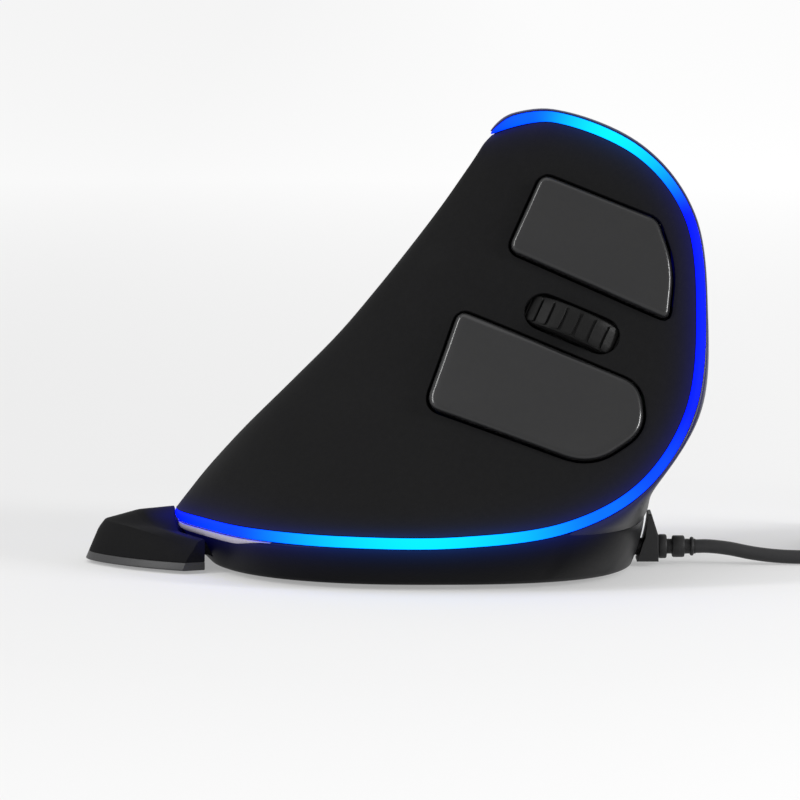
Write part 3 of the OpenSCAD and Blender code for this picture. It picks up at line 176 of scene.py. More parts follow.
class Solid:
    """Vertices and faces of one piece, gathered in millimetres."""

    def __init__(self) -> None:
        """Starts empty."""
        self.points: list[Array] = []
        self.faces: list[tuple[int, ...]] = []
        self.marks: list[Array] = []
        self.count = 0

    def add(self, points: Array, faces: Sequence[Sequence[int]], mark: Optional[Array] = None) -> None:
        """Adds points and the faces between them.

        Args:
            points: new points, one a row.
            faces: faces by index into those points.
            mark: a value for each point, such as a place along a strip.
        """
        self.points.append(np.asarray(points, float).reshape(-1, 3))
        n = len(self.points[-1])
        self.faces += [tuple(int(i) + self.count for i in f) for f in faces]
        self.marks.append(np.zeros(n) if mark is None else np.asarray(mark, float).reshape(-1))
        self.count += n

    def loft(self, rings: Array, caps: bool = True, closed: bool = False,
             marks: Optional[Array] = None) -> None:
        """Adds a skin over rings of points.

        Args:
            rings: rings, points and coordinates.
            caps: whether a fan closes both ends.
            closed: whether the last ring joins the first.
            marks: a value for each ring.
        """
        rings = np.asarray(rings, float)
        n, c = rings.shape[:2]
        faces = []
        for i in range(n if closed else n - 1):
            m = (i + 1) % n
            for j in range(c):
                k = (j + 1) % c
                faces.append((i * c + j, i * c + k, m * c + k, m * c + j))
        points = rings.reshape(-1, 3)
        mark = None if marks is None else np.repeat(np.asarray(marks, float), c)
        if caps and not closed:
            points = np.concatenate([points, [rings[0].mean(0), rings[-1].mean(0)]])
            last = (n - 1) * c
            for j in range(c):
                k = (j + 1) % c
                faces += [(n * c, k, j), (n * c + 1, last + j, last + k)]
            if mark is not None:
                mark = np.concatenate([mark, [mark[0], mark[-1]]])
        self.add(points, faces, mark)

    def wall(self, outer: Array, inner: Array) -> None:
        """Adds a wall between an outer and an inner grid of points.

        Args:
            outer: rows, columns and coordinates of the outer face.
            inner: the same for the inner face.
        """
        r, c = outer.shape[:2]
        grid = np.arange(r * c).reshape(r, c)
        other = grid + r * c
        faces = []
        for i in range(r - 1):
            for j in range(c - 1):
                faces.append((grid[i, j], grid[i + 1, j], grid[i + 1, j + 1], grid[i, j + 1]))
                faces.append((other[i, j], other[i, j + 1], other[i + 1, j + 1], other[i + 1, j]))
            faces.append((grid[i, 0], other[i, 0], other[i + 1, 0], grid[i + 1, 0]))
            faces.append((grid[i, -1], grid[i + 1, -1], other[i + 1, -1], other[i, -1]))
        for j in range(c - 1):
            faces.append((grid[0, j], grid[0, j + 1], other[0, j + 1], other[0, j]))
            faces.append((grid[-1, j], other[-1, j], other[-1, j + 1], grid[-1, j + 1]))
        self.add(np.concatenate([outer.reshape(-1, 3), inner.reshape(-1, 3)]), faces)

    def revolve(self, profile: Sequence[Sequence[float]], origin: Array, axis: Array, steps: int = 64) -> None:
        """Adds a turned shape.

        Args:
            profile: radius and place along the axis, from one end to the other.
            origin: a point on the axis.
            axis: its direction.
            steps: sides of the shape.
        """
        axis = unit(np.asarray(axis, float))
        side = unit(np.cross(axis, [0.31, 0.17, 0.93]))
        other = np.cross(axis, side)
        a = np.linspace(0, 2 * np.pi, steps, endpoint=False)
        ring = np.cos(a)[:, None] * side + np.sin(a)[:, None] * other
        rings = [np.asarray(origin) + axis * z + ring * max(r, 1e-4) for r, z in profile]
        self.loft(np.array(rings))

    def box(self, size: Sequence[float], middle: Sequence[float], axes: Array, edge: float = 0.15) -> None:
        """Adds a block with softened edges.

        Args:
            size: its three lengths.
            middle: its middle.
            axes: three directions, one a row.
            edge: the softening of its edges.
        """
        half = np.asarray(size, float) / 2
        flat = rounded(rectangle(size[0], size[1]), [edge] * 4, 3)
        small = inset(flat, edge * 0.6)
        rings = [(small, -half[2]), (flat, -half[2] + edge), (flat, half[2] - edge), (small, half[2])]
        self.loft(np.array([np.asarray(middle) + np.column_stack([o, np.full(len(o), z)]) @ axes
                            for o, z in rings]))

    def piece(self, name: str, material: Optional[bpy.types.Material], sharp: float = 40.0,
              mark: str = "") -> bpy.types.Object:
        """Makes the object, with its faces outwards and its sharp edges kept.

        Args:
            name: the object's name.
            material: its material.
            sharp: the angle past which an edge stays sharp, in degrees.
            mark: a name under which the marks are stored.

        Returns:
            The new object.
        """
        mesh = bpy.data.meshes.new(name)
        mesh.from_pydata((np.concatenate(self.points) * MM).tolist(), [], self.faces)
        if mark:
            mesh.attributes.new(mark, "FLOAT", "POINT").data.foreach_set("value", np.concatenate(self.marks))
        return finished(name, mesh, material, sharp)


def shaded(mesh: bpy.types.Mesh, sharp: float) -> None:
    """Smooths a mesh's shading and keeps edges past an angle in degrees sharp."""
    mesh.shade_smooth()
    mesh.set_sharp_from_angle(angle=math.radians(sharp))


def linked(name: str, data: bpy.types.ID) -> bpy.types.Object:
    """Makes an object of some data and puts it in the scene."""
    obj = bpy.data.objects.new(name, data)
    bpy.context.scene.collection.objects.link(obj)
    return obj


def finished(name: str, mesh: bpy.types.Mesh, material: Optional[bpy.types.Material],
             sharp: float = 40.0) -> bpy.types.Object:
    """Merges doubles, turns the faces outwards, smooths the shading and links the object.

    Args:
        name: the object's name.
        mesh: its mesh, in place.
        material: its material.
        sharp: the angle past which an edge stays sharp, in degrees.

    Returns:
        The new object.
    """
    work = bmesh.new()
    work.from_mesh(mesh)
    bmesh.ops.remove_doubles(work, verts=work.verts, dist=2e-7)
    bmesh.ops.dissolve_degenerate(work, edges=work.edges, dist=1e-8)
    if work.calc_volume(signed=True) < 0:
        bmesh.ops.reverse_faces(work, faces=work.faces)
    work.to_mesh(mesh)
    work.free()
    shaded(mesh, sharp)
    if material is not None:
        mesh.materials.clear()
        mesh.materials.append(material)
    return linked(name, mesh)


def carved(obj: bpy.types.Object, cutters: Sequence[bpy.types.Object], sharp: float = 40.0) -> None:
    """Cuts the cutters out of a piece and removes them.

    Args:
        obj: the piece.
        cutters: closed shapes to take away.
        sharp: the angle past which an edge stays sharp, in degrees.
    """
    for cutter in cutters:
        step = obj.modifiers.new("cut", "BOOLEAN")
        step.operation = "DIFFERENCE"
        step.solver = "EXACT"
        step.object = cutter
    graph = bpy.context.evaluated_depsgraph_get()
    mesh = bpy.data.meshes.new_from_object(obj.evaluated_get(graph))
    obj.modifiers.clear()
    obj.data = mesh
    shaded(mesh, sharp)
    for cutter in cutters:
        bpy.data.objects.remove(cutter)


# The moulded body

@dataclass(frozen=True)
class SkinFrame:
    """A flat frame laid on the skin."""

    origin: Array
    along: Array
    across: Array
    out: Array

    @property
    def axes(self) -> Array:
        """Its three directions, one a row."""
        return np.stack([self.along, self.across, self.out])

    def place(self, points: Array) -> Array:
        """Points of the frame as points of the mouse."""
        return self.origin + np.asarray(points, float) @ self.axes

    def matrix(self, at: Sequence[float]) -> Matrix:
        """The frame as a matrix in metres, moved to one of its points."""
        turn = Matrix([list(row) for row in self.axes]).transposed().to_4x4()
        return Matrix.Translation(Vector(self.place(np.asarray(at, float)) * MM)) @ turn


@dataclass
class BodyLines:
    """The lit edge and the skins that hang on it."""

    body_len: float = 89.5
    body_h: float = 78.2
    reach: float = 39.4
    edge_h: float = 8.5
    wall: float = 1.8
    ridge_round: float = 12.0
    rear_x: float = -37.3
    guide_w: float = 1.9
    guide_d: float = 2.0
    guide_crown: float = 0.45
    seam: float = 0.15
    foot_len: float = 73.0
    foot_w: float = 68.6
    foot_cx: float = 5.0
    base_z: float = 0.8
    floor_t: float = 1.6
    cheek: float = 5.0
    finger_lines: Array = field(default_factory=lambda: np.array([
        [0, 0.013, 0], [0.056, 0.338, 0], [0.160, 0.698, 0], [0.327, 0.939, 0],
        [0.540, 1, 0.003], [0.741, 0.977, 0.037], [0.888, 0.876, 0.133], [0.979, 0.736, 0.308],
        [1, 0.609, 0.538], [0.980, 0.490, 0.760], [0.885, 0.406, 0.918], [0.724, 0.310, 1],
        [0.606, 0.15, 0.966]]))
    ridge_lines: Array = field(default_factory=lambda: np.array([
        [0.020, 0.050, 0.056], [0.061, 0.063, 0.122], [0.130, 0.076, 0.220], [0.221, 0.100, 0.337],
        [0.314, 0.127, 0.459], [0.393, 0.152, 0.580], [0.460, 0.165, 0.689], [0.512, 0.175, 0.778],
        [0.550, 0.178, 0.848], [0.576, 0.178, 0.897], [0.592, 0.175, 0.929]]))
    thumb_lines: Array = field(default_factory=lambda: np.array([
        [0.042, 0.317, 0], [0.126, 0.647, 0], [0.294, 0.939, 0], [0.506, 1, 0.003],
        [0.707, 0.964, 0.024], [0.858, 0.812, 0.122], [0.942, 0.596, 0.308], [0.964, 0.368, 0.531],
        [0.944, 0.190, 0.746], [0.858, 0.051, 0.904], [0.713, -0.038, 0.985]]))
    band_bulge: Array = field(default_factory=lambda: np.array([21, 4.8, 3.6, 1.7, 1.5, 1.2, 0.7, 0.3]))
    fine: float = 0.05
    core_lift: float = 0.25
    pole_keep: float = 0.7
    edge_blend: float = 7.0
    rim_share: float = 0.65
    skirt_bow: float = 1.6
    tip_thin: float = 0.85
    tip_run: float = 0.55
    # The skin's handles, as shares of the way between the edge and the ridge
    ridge_share: float = 0.38
    ridge_side: float = 0.55
    finger_pull: Triple = (0.36, 0.306, 0.27)
    thumb_pull: Triple = (0.42, 0.42, 0.189)

    def __post_init__(self) -> None:
        """Works out the point lists from the lines."""
        self.last = len(self.finger_lines) - 1
        self.whole = 2 * self.last
        self.edge_points = np.concatenate([
            self._real(self.finger_lines, -self.reach),
            self._real(self.thumb_lines, self.reach)[self.last - 2::-1]])
        middle = self._real(self.ridge_lines, -self.reach)
        self.core_points = np.concatenate(
            [self.edge_points[:1], middle, self.edge_points[self.last:self.last + 1]])
        self.ridge_points = np.concatenate(
            [self.rim_up(np.array([0.0])), middle, self.rim_up(np.array([float(self.last)]))])

    def _real(self, lines: Array, reach: float) -> Array:
        """Fractions as points of the mouse."""
        return np.stack([self.rear_x + lines[:, 0] * self.body_len, lines[:, 1] * reach,
                         self.edge_h + lines[:, 2] * (self.body_h - self.edge_h)], -1)

    def edge_at(self, s: Array) -> Array:
        """The lit edge, a closed curve from the rear by the finger side to the tip and back."""
        q = np.asarray(s, float) + self.whole
        i = np.floor(q).astype(int)
        p, n = self.edge_points, self.whole
        return through_four(p[(i - 1) % n], p[i % n], p[(i + 1) % n], p[(i + 2) % n], (q - i)[..., None])

    def edge_along(self, s: Array) -> Array:
        """The edge's direction."""
        return unit(self.edge_at(s + self.fine) - self.edge_at(s - self.fine))

    def core_at(self, s: Array) -> Array:
        """A point inside the body that the edge faces away from."""
        q = np.clip(np.where(s > self.last, self.whole - s, s), self.pole_keep, self.last - self.pole_keep)
        return lerp((self.edge_at(q) + self.edge_at(self.whole - q)) / 2,
                    curve_at(self.core_points, q), self.core_lift)

    def edge_out(self, s: Array) -> Array:
        """The way the light guide faces."""
        a = self.edge_along(s)
        q = self.edge_at(s) - self.core_at(s)
        return unit(q - dot(q, a) * a)

    def edge_up(self, s: Array) -> Array:
        """The way across the light guide, towards the upper skin."""
        return np.cross(self.edge_out(s), self.edge_along(s))

    def tip_share(self, s: Array) -> Array:
        """The share of its width that the light guide has lost near the tip."""
        return self.tip_thin * smooth(1 - np.abs(np.asarray(s, float) - self.last) / self.tip_run)

    def rim_up(self, s: Array) -> Array:
        """The upper skin's border."""
        return self.edge_at(s) + self.edge_up(s) * (self.guide_w / 2 + self.seam)

    def rim_down(self, s: Array) -> Array:
        """The border of the band and the base."""
        across = self.guide_w * self.tip_share(s) - self.guide_w / 2 - self.seam
        return self.edge_at(s) + self.edge_up(s) * across[..., None]

    def _handle(self, m: Array) -> Array:
        """The ridge's sideways handle."""
        reach = np.minimum(self.ridge_round, self.ridge_share * np.linalg.norm(m, axis=-1))
        y = np.minimum(reach, self.ridge_side * np.abs(m[..., 1]))
        return np.stack([np.zeros_like(y), y, np.zeros_like(y)], -1)

    def skin_at(self, s: Array, w: Array) -> Array:
        """The upper skin: w runs from the finger edge (0) over the ridge (1) to the thumb edge (2)."""
        s, w = np.broadcast_arrays(np.asarray(s, float), np.asarray(w, float))
        ridge = curve_at(self.ridge_points, s)
        f, t = self.rim_up(s), self.rim_up(self.whole - s)
        near, far = ridge - f, ridge - t
        u = w[..., None]
        front = bezier(f, f + near * np.array(self.finger_pull), ridge - self._handle(near), ridge, u)
        back = bezier(ridge, ridge + self._handle(far), t + far * np.array(self.thumb_pull), t, u - 1)
        return np.where(u <= 1, front, back)

    def skin_normal(self, s: Array, w: Array) -> Array:
        """The skin's outward direction."""
        h = self.fine
        s0, s1 = np.maximum(s - h, h), np.minimum(s + h, self.last - h)
        w0, w1 = np.maximum(w - h, 0), np.minimum(w + h, 2)
        along = self.skin_at(s1, w) - self.skin_at(s0, w)
        return unit(np.cross(along, self.skin_at(s, w1) - self.skin_at(s, w0)))

    def skin_inner(self, s: Array, w: Array) -> Array:
        """The inside of the upper wall."""
        p = self.skin_at(s, w)
        o = unit(lerp(self.edge_out(s), self.edge_out(self.whole - s), w[..., None] / 2))
        near = np.minimum(np.linalg.norm(p - self.rim_up(s), axis=-1),
                          np.linalg.norm(p - self.rim_up(self.whole - s), axis=-1))
        k = smooth(near / self.edge_blend)[..., None]
        return p - self.wall * lerp(self.rim_share, 1, k) * unit(lerp(o, self.skin_normal(s, w), k))

    def band_at(self, s: Array, w: Array) -> Array:
        """The front and top band between the two runs of the edge."""
        s, w = np.broadcast_arrays(np.asarray(s, float), np.asarray(w, float))
        f, t, a = self.rim_down(s), self.rim_down(self.whole - s), self.edge_along(s)
        n = unit(np.stack([a[..., 2], np.zeros_like(s), np.maximum(-a[..., 0], 0)], -1))
        h = curve_at(self.band_bulge, s - self.cheek)[..., None] * n
        return bezier(f, f + h, t + h, t, w[..., None])

    def band_inner(self, s: Array, w: Array) -> Array:
        """The inside of the band's wall."""
        p = self.band_at(s, w)
        o = unit(lerp(self.edge_out(s), self.edge_out(self.whole - s), w[..., None]))
        s1 = np.minimum(s + self.fine, self.last)
        w0, w1 = np.maximum(w - self.fine, 0), np.minimum(w + self.fine, 1)
        near = np.minimum(np.linalg.norm(p - self.rim_down(s), axis=-1),
                          np.linalg.norm(p - self.rim_down(self.whole - s), axis=-1))
        k = smooth(near / self.edge_blend)[..., None]
        n = unit(np.cross(self.band_at(s, w1) - self.band_at(s, w0),
                          self.band_at(s1, w) - self.band_at(s1 - 2 * self.fine, w)))
        return p - self.wall * unit(lerp(o, n, k))

    def foot_at(self, a: Array, inward: float = 0.0) -> Array:
        """The base's oval foot, by bearing in radians."""
        n = np.where(np.cos(a) > 0, 2.8, 2.2)
        length, width = self.foot_len / 2 - inward, self.foot_w / 2 - inward
        r = ((np.abs(np.cos(a)) / length) ** n + (np.abs(np.sin(a)) / width) ** n) ** (-1 / n)
        return np.stack([self.foot_cx + r * np.cos(a), r * np.sin(a)], -1)

    def bearing(self, p: Array) -> Array:
        """The direction from the foot's centre, in radians."""
        return np.arctan2(p[..., 1], p[..., 0] - self.foot_cx)

    def base_rim(self, per: int) -> Array:
        """The base's upper rim, round the edge and under the band.

        Args:
            per: points for each step of the edge.

        Returns:
            The rim's points.
        """
        s = np.arange(int(per * self.cheek) + 1) / per
        across = np.arange(1, 6 * per) / (6 * per)
        under = self.band_at(np.full_like(across, self.cheek), across) - [0, 0, 2 * self.seam]
        return np.concatenate([self.rim_down(s), under, self.rim_down(self.whole - s[:0:-1])])

    def skirt_at(self, g: Array, share: Array) -> Array:
        """The base's outside, a share of the way from its rim down to its foot."""
        d = np.asarray(share, float)[..., None]
        q = lerp(g[..., :2], self.foot_at(self.bearing(g)), d**self.skirt_bow)
        return np.concatenate([q, lerp(g[..., 2:], self.base_z, d)], -1)

    def skirt_inner(self, g: Array, d: float) -> Array:
        """The base's inside."""
        a = self.bearing(g)
        o = np.stack([np.cos(a), np.sin(a)], -1)
        q = lerp(g[..., :2] - self.wall * o, self.foot_at(a, self.wall), d**self.skirt_bow)
        return np.concatenate([q, lerp(g[..., 2:], self.base_z + self.floor_t, d)], -1)

    def front_x(self, z: float) -> float:
        """How far forward the base reaches at a height, in its middle."""
        g = self.band_at(np.array([self.cheek]), np.array([0.5]))
        d = (g[0, 2] - z) / (g[0, 2] - self.base_z)
        return float(self.skirt_at(g, d)[0, 0])

    def frame_on(self, s: float, w: float, slope: float) -> SkinFrame:
        """A flat frame on the skin.

        Args:
            s: place along the edge.
            w: place across the skin.
            slope: how far its first direction points down, in degrees.

        Returns:
            The frame.
        """
        def at(i: float, j: float) -> Array:
            return self.skin_at(np.array([i]), np.array([j]))[0]

        n = unit(np.cross(at(s + 1, w) - at(s - 1, w), at(s, w + 0.2) - at(s, w - 0.2)))
        towards = np.array([math.cos(math.radians(slope)), 0, -math.sin(math.radians(slope))])
        a = unit(towards - towards @ n * n)
        return SkinFrame(at(s, w), a, np.cross(n, a), n)

    def heights(self, on: SkinFrame, xy: Array, guess: tuple[float, float]) -> Array:
        """The skin's height over points of a frame, by a few Newton steps.

        Args:
            on: the frame.
            xy: the points.
            guess: where on the skin to start.

        Returns:
            One height for each point.
        """
        s, w = np.full(len(xy), guess[0]), np.full(len(xy), guess[1])
        d = 0.02
        for _ in range(6):
            p = self.skin_at(s, w) - on.origin
            ps = (self.skin_at(s + d, w) - self.skin_at(s - d, w)) / (2 * d)
            pw = (self.skin_at(s, w + d) - self.skin_at(s, w - d)) / (2 * d)
            a, b, c, e = ps @ on.along, pw @ on.along, ps @ on.across, pw @ on.across
            rx, ry = xy[:, 0] - p @ on.along, xy[:, 1] - p @ on.across
            det = a * e - b * c
            s, w = s + (rx * e - b * ry) / det, w + (a * ry - c * rx) / det
        return (self.skin_at(s, w) - on.origin) @ on.out


# Shader groups and finishes

def new_group(name: str, inputs: dict[str, float], outputs: Sequence[str]) -> bpy.types.NodeTree:
    """A shader node group with a Vector input, named numbers and value outputs.

    Args:
        name: the group's name.
        inputs: names and default numbers.
        outputs: names of the values it puts out.

    Returns:
        The group, with its input and output nodes.
    """
    tree = bpy.data.node_groups.new(name, "ShaderNodeTree")
    tree.interface.new_socket(name="Vector", in_out="INPUT", socket_type="NodeSocketVector")
    for label, value in inputs.items():
        item = tree.interface.new_socket(name=label, in_out="INPUT", socket_type="NodeSocketFloat")
        item.default_value = value
    for label in outputs:
        tree.interface.new_socket(name=label, in_out="OUTPUT", socket_type="NodeSocketFloat")
    tree.nodes.new("NodeGroupInput").name = "in"
    tree.nodes.new("NodeGroupOutput").name = "out"
    return tree


def add_node(tree: bpy.types.NodeTree, kind: str, links: dict[str, bpy.types.NodeSocket],
             **settings: object) -> bpy.types.Node:
    """Adds a node, sets its properties or sockets and links its inputs.

    Args:
        tree: where it goes.
        kind: the node's type name.
        links: input names or numbers, and the sockets that feed them.
        settings: properties, or input values where no such property exists.

    Returns:
        The new node.
    """
    node = tree.nodes.new(kind)
    for key, value in settings.items():
        if key in node.bl_rna.properties:
            setattr(node, key, value)
        else:
            node.inputs[key].default_value = value
    for key, source in links.items():
        tree.links.new(source, node.inputs[int(key)] if key.isdigit() else node.inputs[key])
    return node


def scaled(tree: bpy.types.NodeTree, source: bpy.types.NodeSocket, factor: float) -> bpy.types.NodeSocket:
    """A value times a constant."""
    node = add_node(tree, "ShaderNodeMath", {"0": source}, operation="MULTIPLY")
    node.inputs[1].default_value = factor
    return node.outputs[0]


def ranged(tree: bpy.types.NodeTree, source: bpy.types.NodeSocket, low: float, high: float,
           start: float = 0.0, end: float = 1.0) -> bpy.types.NodeSocket:
    """A value moved from one range into another.

    Args:
        tree: where the node goes.
        source: the value.
        low: the result at the range's start.
        high: the result at its end.
        start: where the range starts.
        end: where it ends.

    Returns:
        The result's socket.
    """
    node = add_node(tree, "ShaderNodeMapRange", {"Value": source})
    for label, value in zip(("From Min", "From Max", "To Min", "To Max"), (start, end, low, high)):
        node.inputs[label].default_value = value
    return node.outputs[0]


class Effects:
    """Shader groups that several finishes share."""

    def __init__(self) -> None:
        """Builds each group once."""
        self.grain = self._grain()
        self.handling = self._handling()

    @staticmethod
    def _grain() -> bpy.types.NodeTree:
        """The fine texture that a mould leaves on plastic and rubber."""
        tree = new_group("moulded_grain", {"Scale": 4000.0}, ["Height", "Speckle"])
        source, out = tree.nodes["in"].outputs, tree.nodes["out"].inputs
        cells = add_node(tree, "ShaderNodeTexVoronoi", {"Vector": source["Vector"], "Scale": source["Scale"]})
        coarse = scaled(tree, source["Scale"], 0.37)
        noise = add_node(tree, "ShaderNodeTexNoise", {"Vector": source["Vector"], "Scale": coarse},
                         Detail=3.0, Roughness=0.6)
        mixed = add_node(tree, "ShaderNodeMath", {"0": cells.outputs["Distance"], "1": noise.outputs[0]},
                         operation="ADD")
        tree.links.new(mixed.outputs[0], out["Height"])
        tree.links.new(noise.outputs[0], out["Speckle"])
        return tree

    @staticmethod
    def _handling() -> bpy.types.NodeTree:
        """Soft marks left by hands: broad smears and a few finer ones."""
        tree = new_group("handling_marks", {"Scale": 60.0}, ["Smear", "Rub"])
        source, out = tree.nodes["in"].outputs, tree.nodes["out"].inputs
        broad = add_node(tree, "ShaderNodeTexNoise", {"Vector": source["Vector"], "Scale": source["Scale"]},
                         Detail=4.0, Roughness=0.55, Distortion=0.6)
        smear = ranged(tree, broad.outputs[0], 0.0, 1.0, 0.35, 0.72)
        fine = scaled(tree, source["Scale"], 9.0)
        rub = add_node(tree, "ShaderNodeTexNoise", {"Vector": source["Vector"], "Scale": fine},
                       Detail=2.0, Roughness=0.5)
        tree.links.new(smear, out["Smear"])
        tree.links.new(rub.outputs[0], out["Rub"])
        return tree


@dataclass(frozen=True)
class Finish:
    """A surface: its colour, gloss, the scale of its texture and any painted glow of the lit edge on it, in
    metres where it is a length.
    """

    name: str
    colour: Colour
    roughness: float = 0.5
    specular: float = 0.5
    grain: float = 0.0003
    depth: float = 0.00001
    mottle: float = 0.12
    marks: float = 0.08
    marks_size: float = 0.016
    metallic: float = 0.0
    coat: float = 0.0
    coat_rough: float = 0.16
    # Strength of a painted glow: the strip's light on nearby plastic, painted as emission that fades away from
    # the edge
    glow: float = 0.0

    def material(self, effects: Effects) -> bpy.types.Material:
        """Builds the material.

        Args:
            effects: the shared shader groups.

        Returns:
            The material.
        """
        made = bpy.data.materials.new(self.name)
        made.use_nodes = True
        tree = made.node_tree
        shader = tree.nodes["Principled BSDF"]
        shader.inputs["Metallic"].default_value = self.metallic
        shader.inputs["Specular IOR Level"].default_value = self.specular
        shader.inputs["Coat Weight"].default_value = self.coat
        shader.inputs["Coat Roughness"].default_value = self.coat_rough
        place = tree.nodes.new("ShaderNodeTexCoord").outputs["Object"]
        grain = add_node(tree, "ShaderNodeGroup", {}, node_tree=effects.grain)
        grain.inputs["Scale"].default_value = 1 / self.grain
        tree.links.new(place, grain.inputs["Vector"])
        hands = add_node(tree, "ShaderNodeGroup", {}, node_tree=effects.handling)
        hands.inputs["Scale"].default_value = 1 / self.marks_size
        tree.links.new(place, hands.inputs["Vector"])
        self._dress(tree, shader, grain, hands)
        bump = add_node(tree, "ShaderNodeBump", {"Height": grain.outputs["Height"]}, Strength=1.0,
                        Distance=self.depth)
        tree.links.new(bump.outputs[0], shader.inputs["Normal"])
        # Painted light: the strip's glow on this plastic, emitted by the stored nearness to the edge
        if self.glow:
            tree.links.new(EdgeLight().ramp(tree, PAINTED_GLOW_DIM), shader.inputs["Emission Color"])
            near = add_node(tree, "ShaderNodeAttribute", {}, attribute_name="near")
            tree.links.new(scaled(tree, near.outputs["Fac"], self.glow), shader.inputs["Emission Strength"])
        return made

    def _dress(self, tree: bpy.types.NodeTree, shader: bpy.types.Node, grain: bpy.types.Node,
               hands: bpy.types.Node) -> None:
        """Lets the texture vary colour and gloss.

        Args:
            tree: the material's nodes.
            shader: its shader.
            grain: the moulded grain.
            hands: the marks of handling.
        """
        tone = ranged(tree, grain.outputs["Speckle"], 1 - self.mottle, 1 + self.mottle)
        tint = add_node(tree, "ShaderNodeVectorMath", {"1": tone}, operation="MULTIPLY")
        tint.inputs[0].default_value = self.colour
        tree.links.new(tint.outputs[0], shader.inputs["Base Color"])
        swing = self.marks / 2
        gloss = ranged(tree, hands.outputs["Smear"], self.roughness + swing, self.roughness - swing)
        tree.links.new(gloss, shader.inputs["Roughness"])


@dataclass(frozen=True)
class EdgeLight:
    """The colours of the lit edge, from its rear to its tip."""

    whole: float = 24.0
    # Place along the edge, then green light; blue is full everywhere
    greens: tuple[tuple[float, float], ...] = (
        (0.0, 0.010), (1.6, 0.06), (3.7, 0.90), (5.45, 0.17), (6.2, 0.07), (7.0, 0.012), (9.0, 0.008),
        (10.35, 0.95), (11.3, 0.13), (12.0, 0.045))

    def ramp(self, tree: bpy.types.NodeTree, strength: float) -> bpy.types.NodeSocket:
        """A colour that follows the run stored on a piece.

        Args:
            tree: the material's nodes.
            strength: what the greens are divided by.

        Returns:
            The colour's socket.
        """
        run = add_node(tree, "ShaderNodeAttribute", {}, attribute_name="run")
        ramp = add_node(tree, "ShaderNodeValToRGB", {"Fac": run.outputs["Fac"]})
        stops = ramp.color_ramp.elements
        while len(stops) < len(self.greens):
            stops.new(0.5)
        for stop, (s, green) in zip(stops, self.greens):
            stop.position = s / (self.whole / 2)
            stop.color = (0.0, green / strength, 1.0, 1.0)
        ramp.color_ramp.interpolation = "EASE"
        return ramp.outputs["Color"]


@dataclass(frozen=True)
class LitFinish:
    """The light guide: a milky plastic with a colour that runs along it."""

    light: EdgeLight
    name: str = "lit_guide"
    strength: float = 3.0
    colour: Colour = (0.002, 0.004, 0.02)
    roughness: float = 0.6
    specular: float = 0.02

    def material(self) -> bpy.types.Material:
        """Builds the material from the run stored on the guide."""
        made = bpy.data.materials.new(self.name)
        made.use_nodes = True
        tree = made.node_tree
        shader = tree.nodes["Principled BSDF"]
        shader.inputs["Base Color"].default_value = (*self.colour, 1)
        shader.inputs["Roughness"].default_value = self.roughness
        shader.inputs["Specular IOR Level"].default_value = self.specular
        tree.links.new(self.light.ramp(tree, self.strength), shader.inputs["Emission Color"])
        face = add_node(tree, "ShaderNodeAttribute", {}, attribute_name="face")
        tree.links.new(scaled(tree, face.outputs["Fac"], self.strength), shader.inputs["Emission Strength"])
        return made


@dataclass(frozen=True)
class LensFinish:
    """Clear moulded plastic."""

    name: str = "clear_lens"
    colour: Colour = (0.9, 0.94, 0.97)
    roughness: float = 0.05
    bend: float = 1.49

    def material(self) -> bpy.types.Material:
        """Builds the material."""
        made = bpy.data.materials.new(self.name)
        made.use_nodes = True
        shader = made.node_tree.nodes["Principled BSDF"]
        shader.inputs["Base Color"].default_value = (*self.colour, 1)
        shader.inputs["Roughness"].default_value = self.roughness
        shader.inputs["Transmission Weight"].default_value = 1.0
        shader.inputs["IOR"].default_value = self.bend
        return made


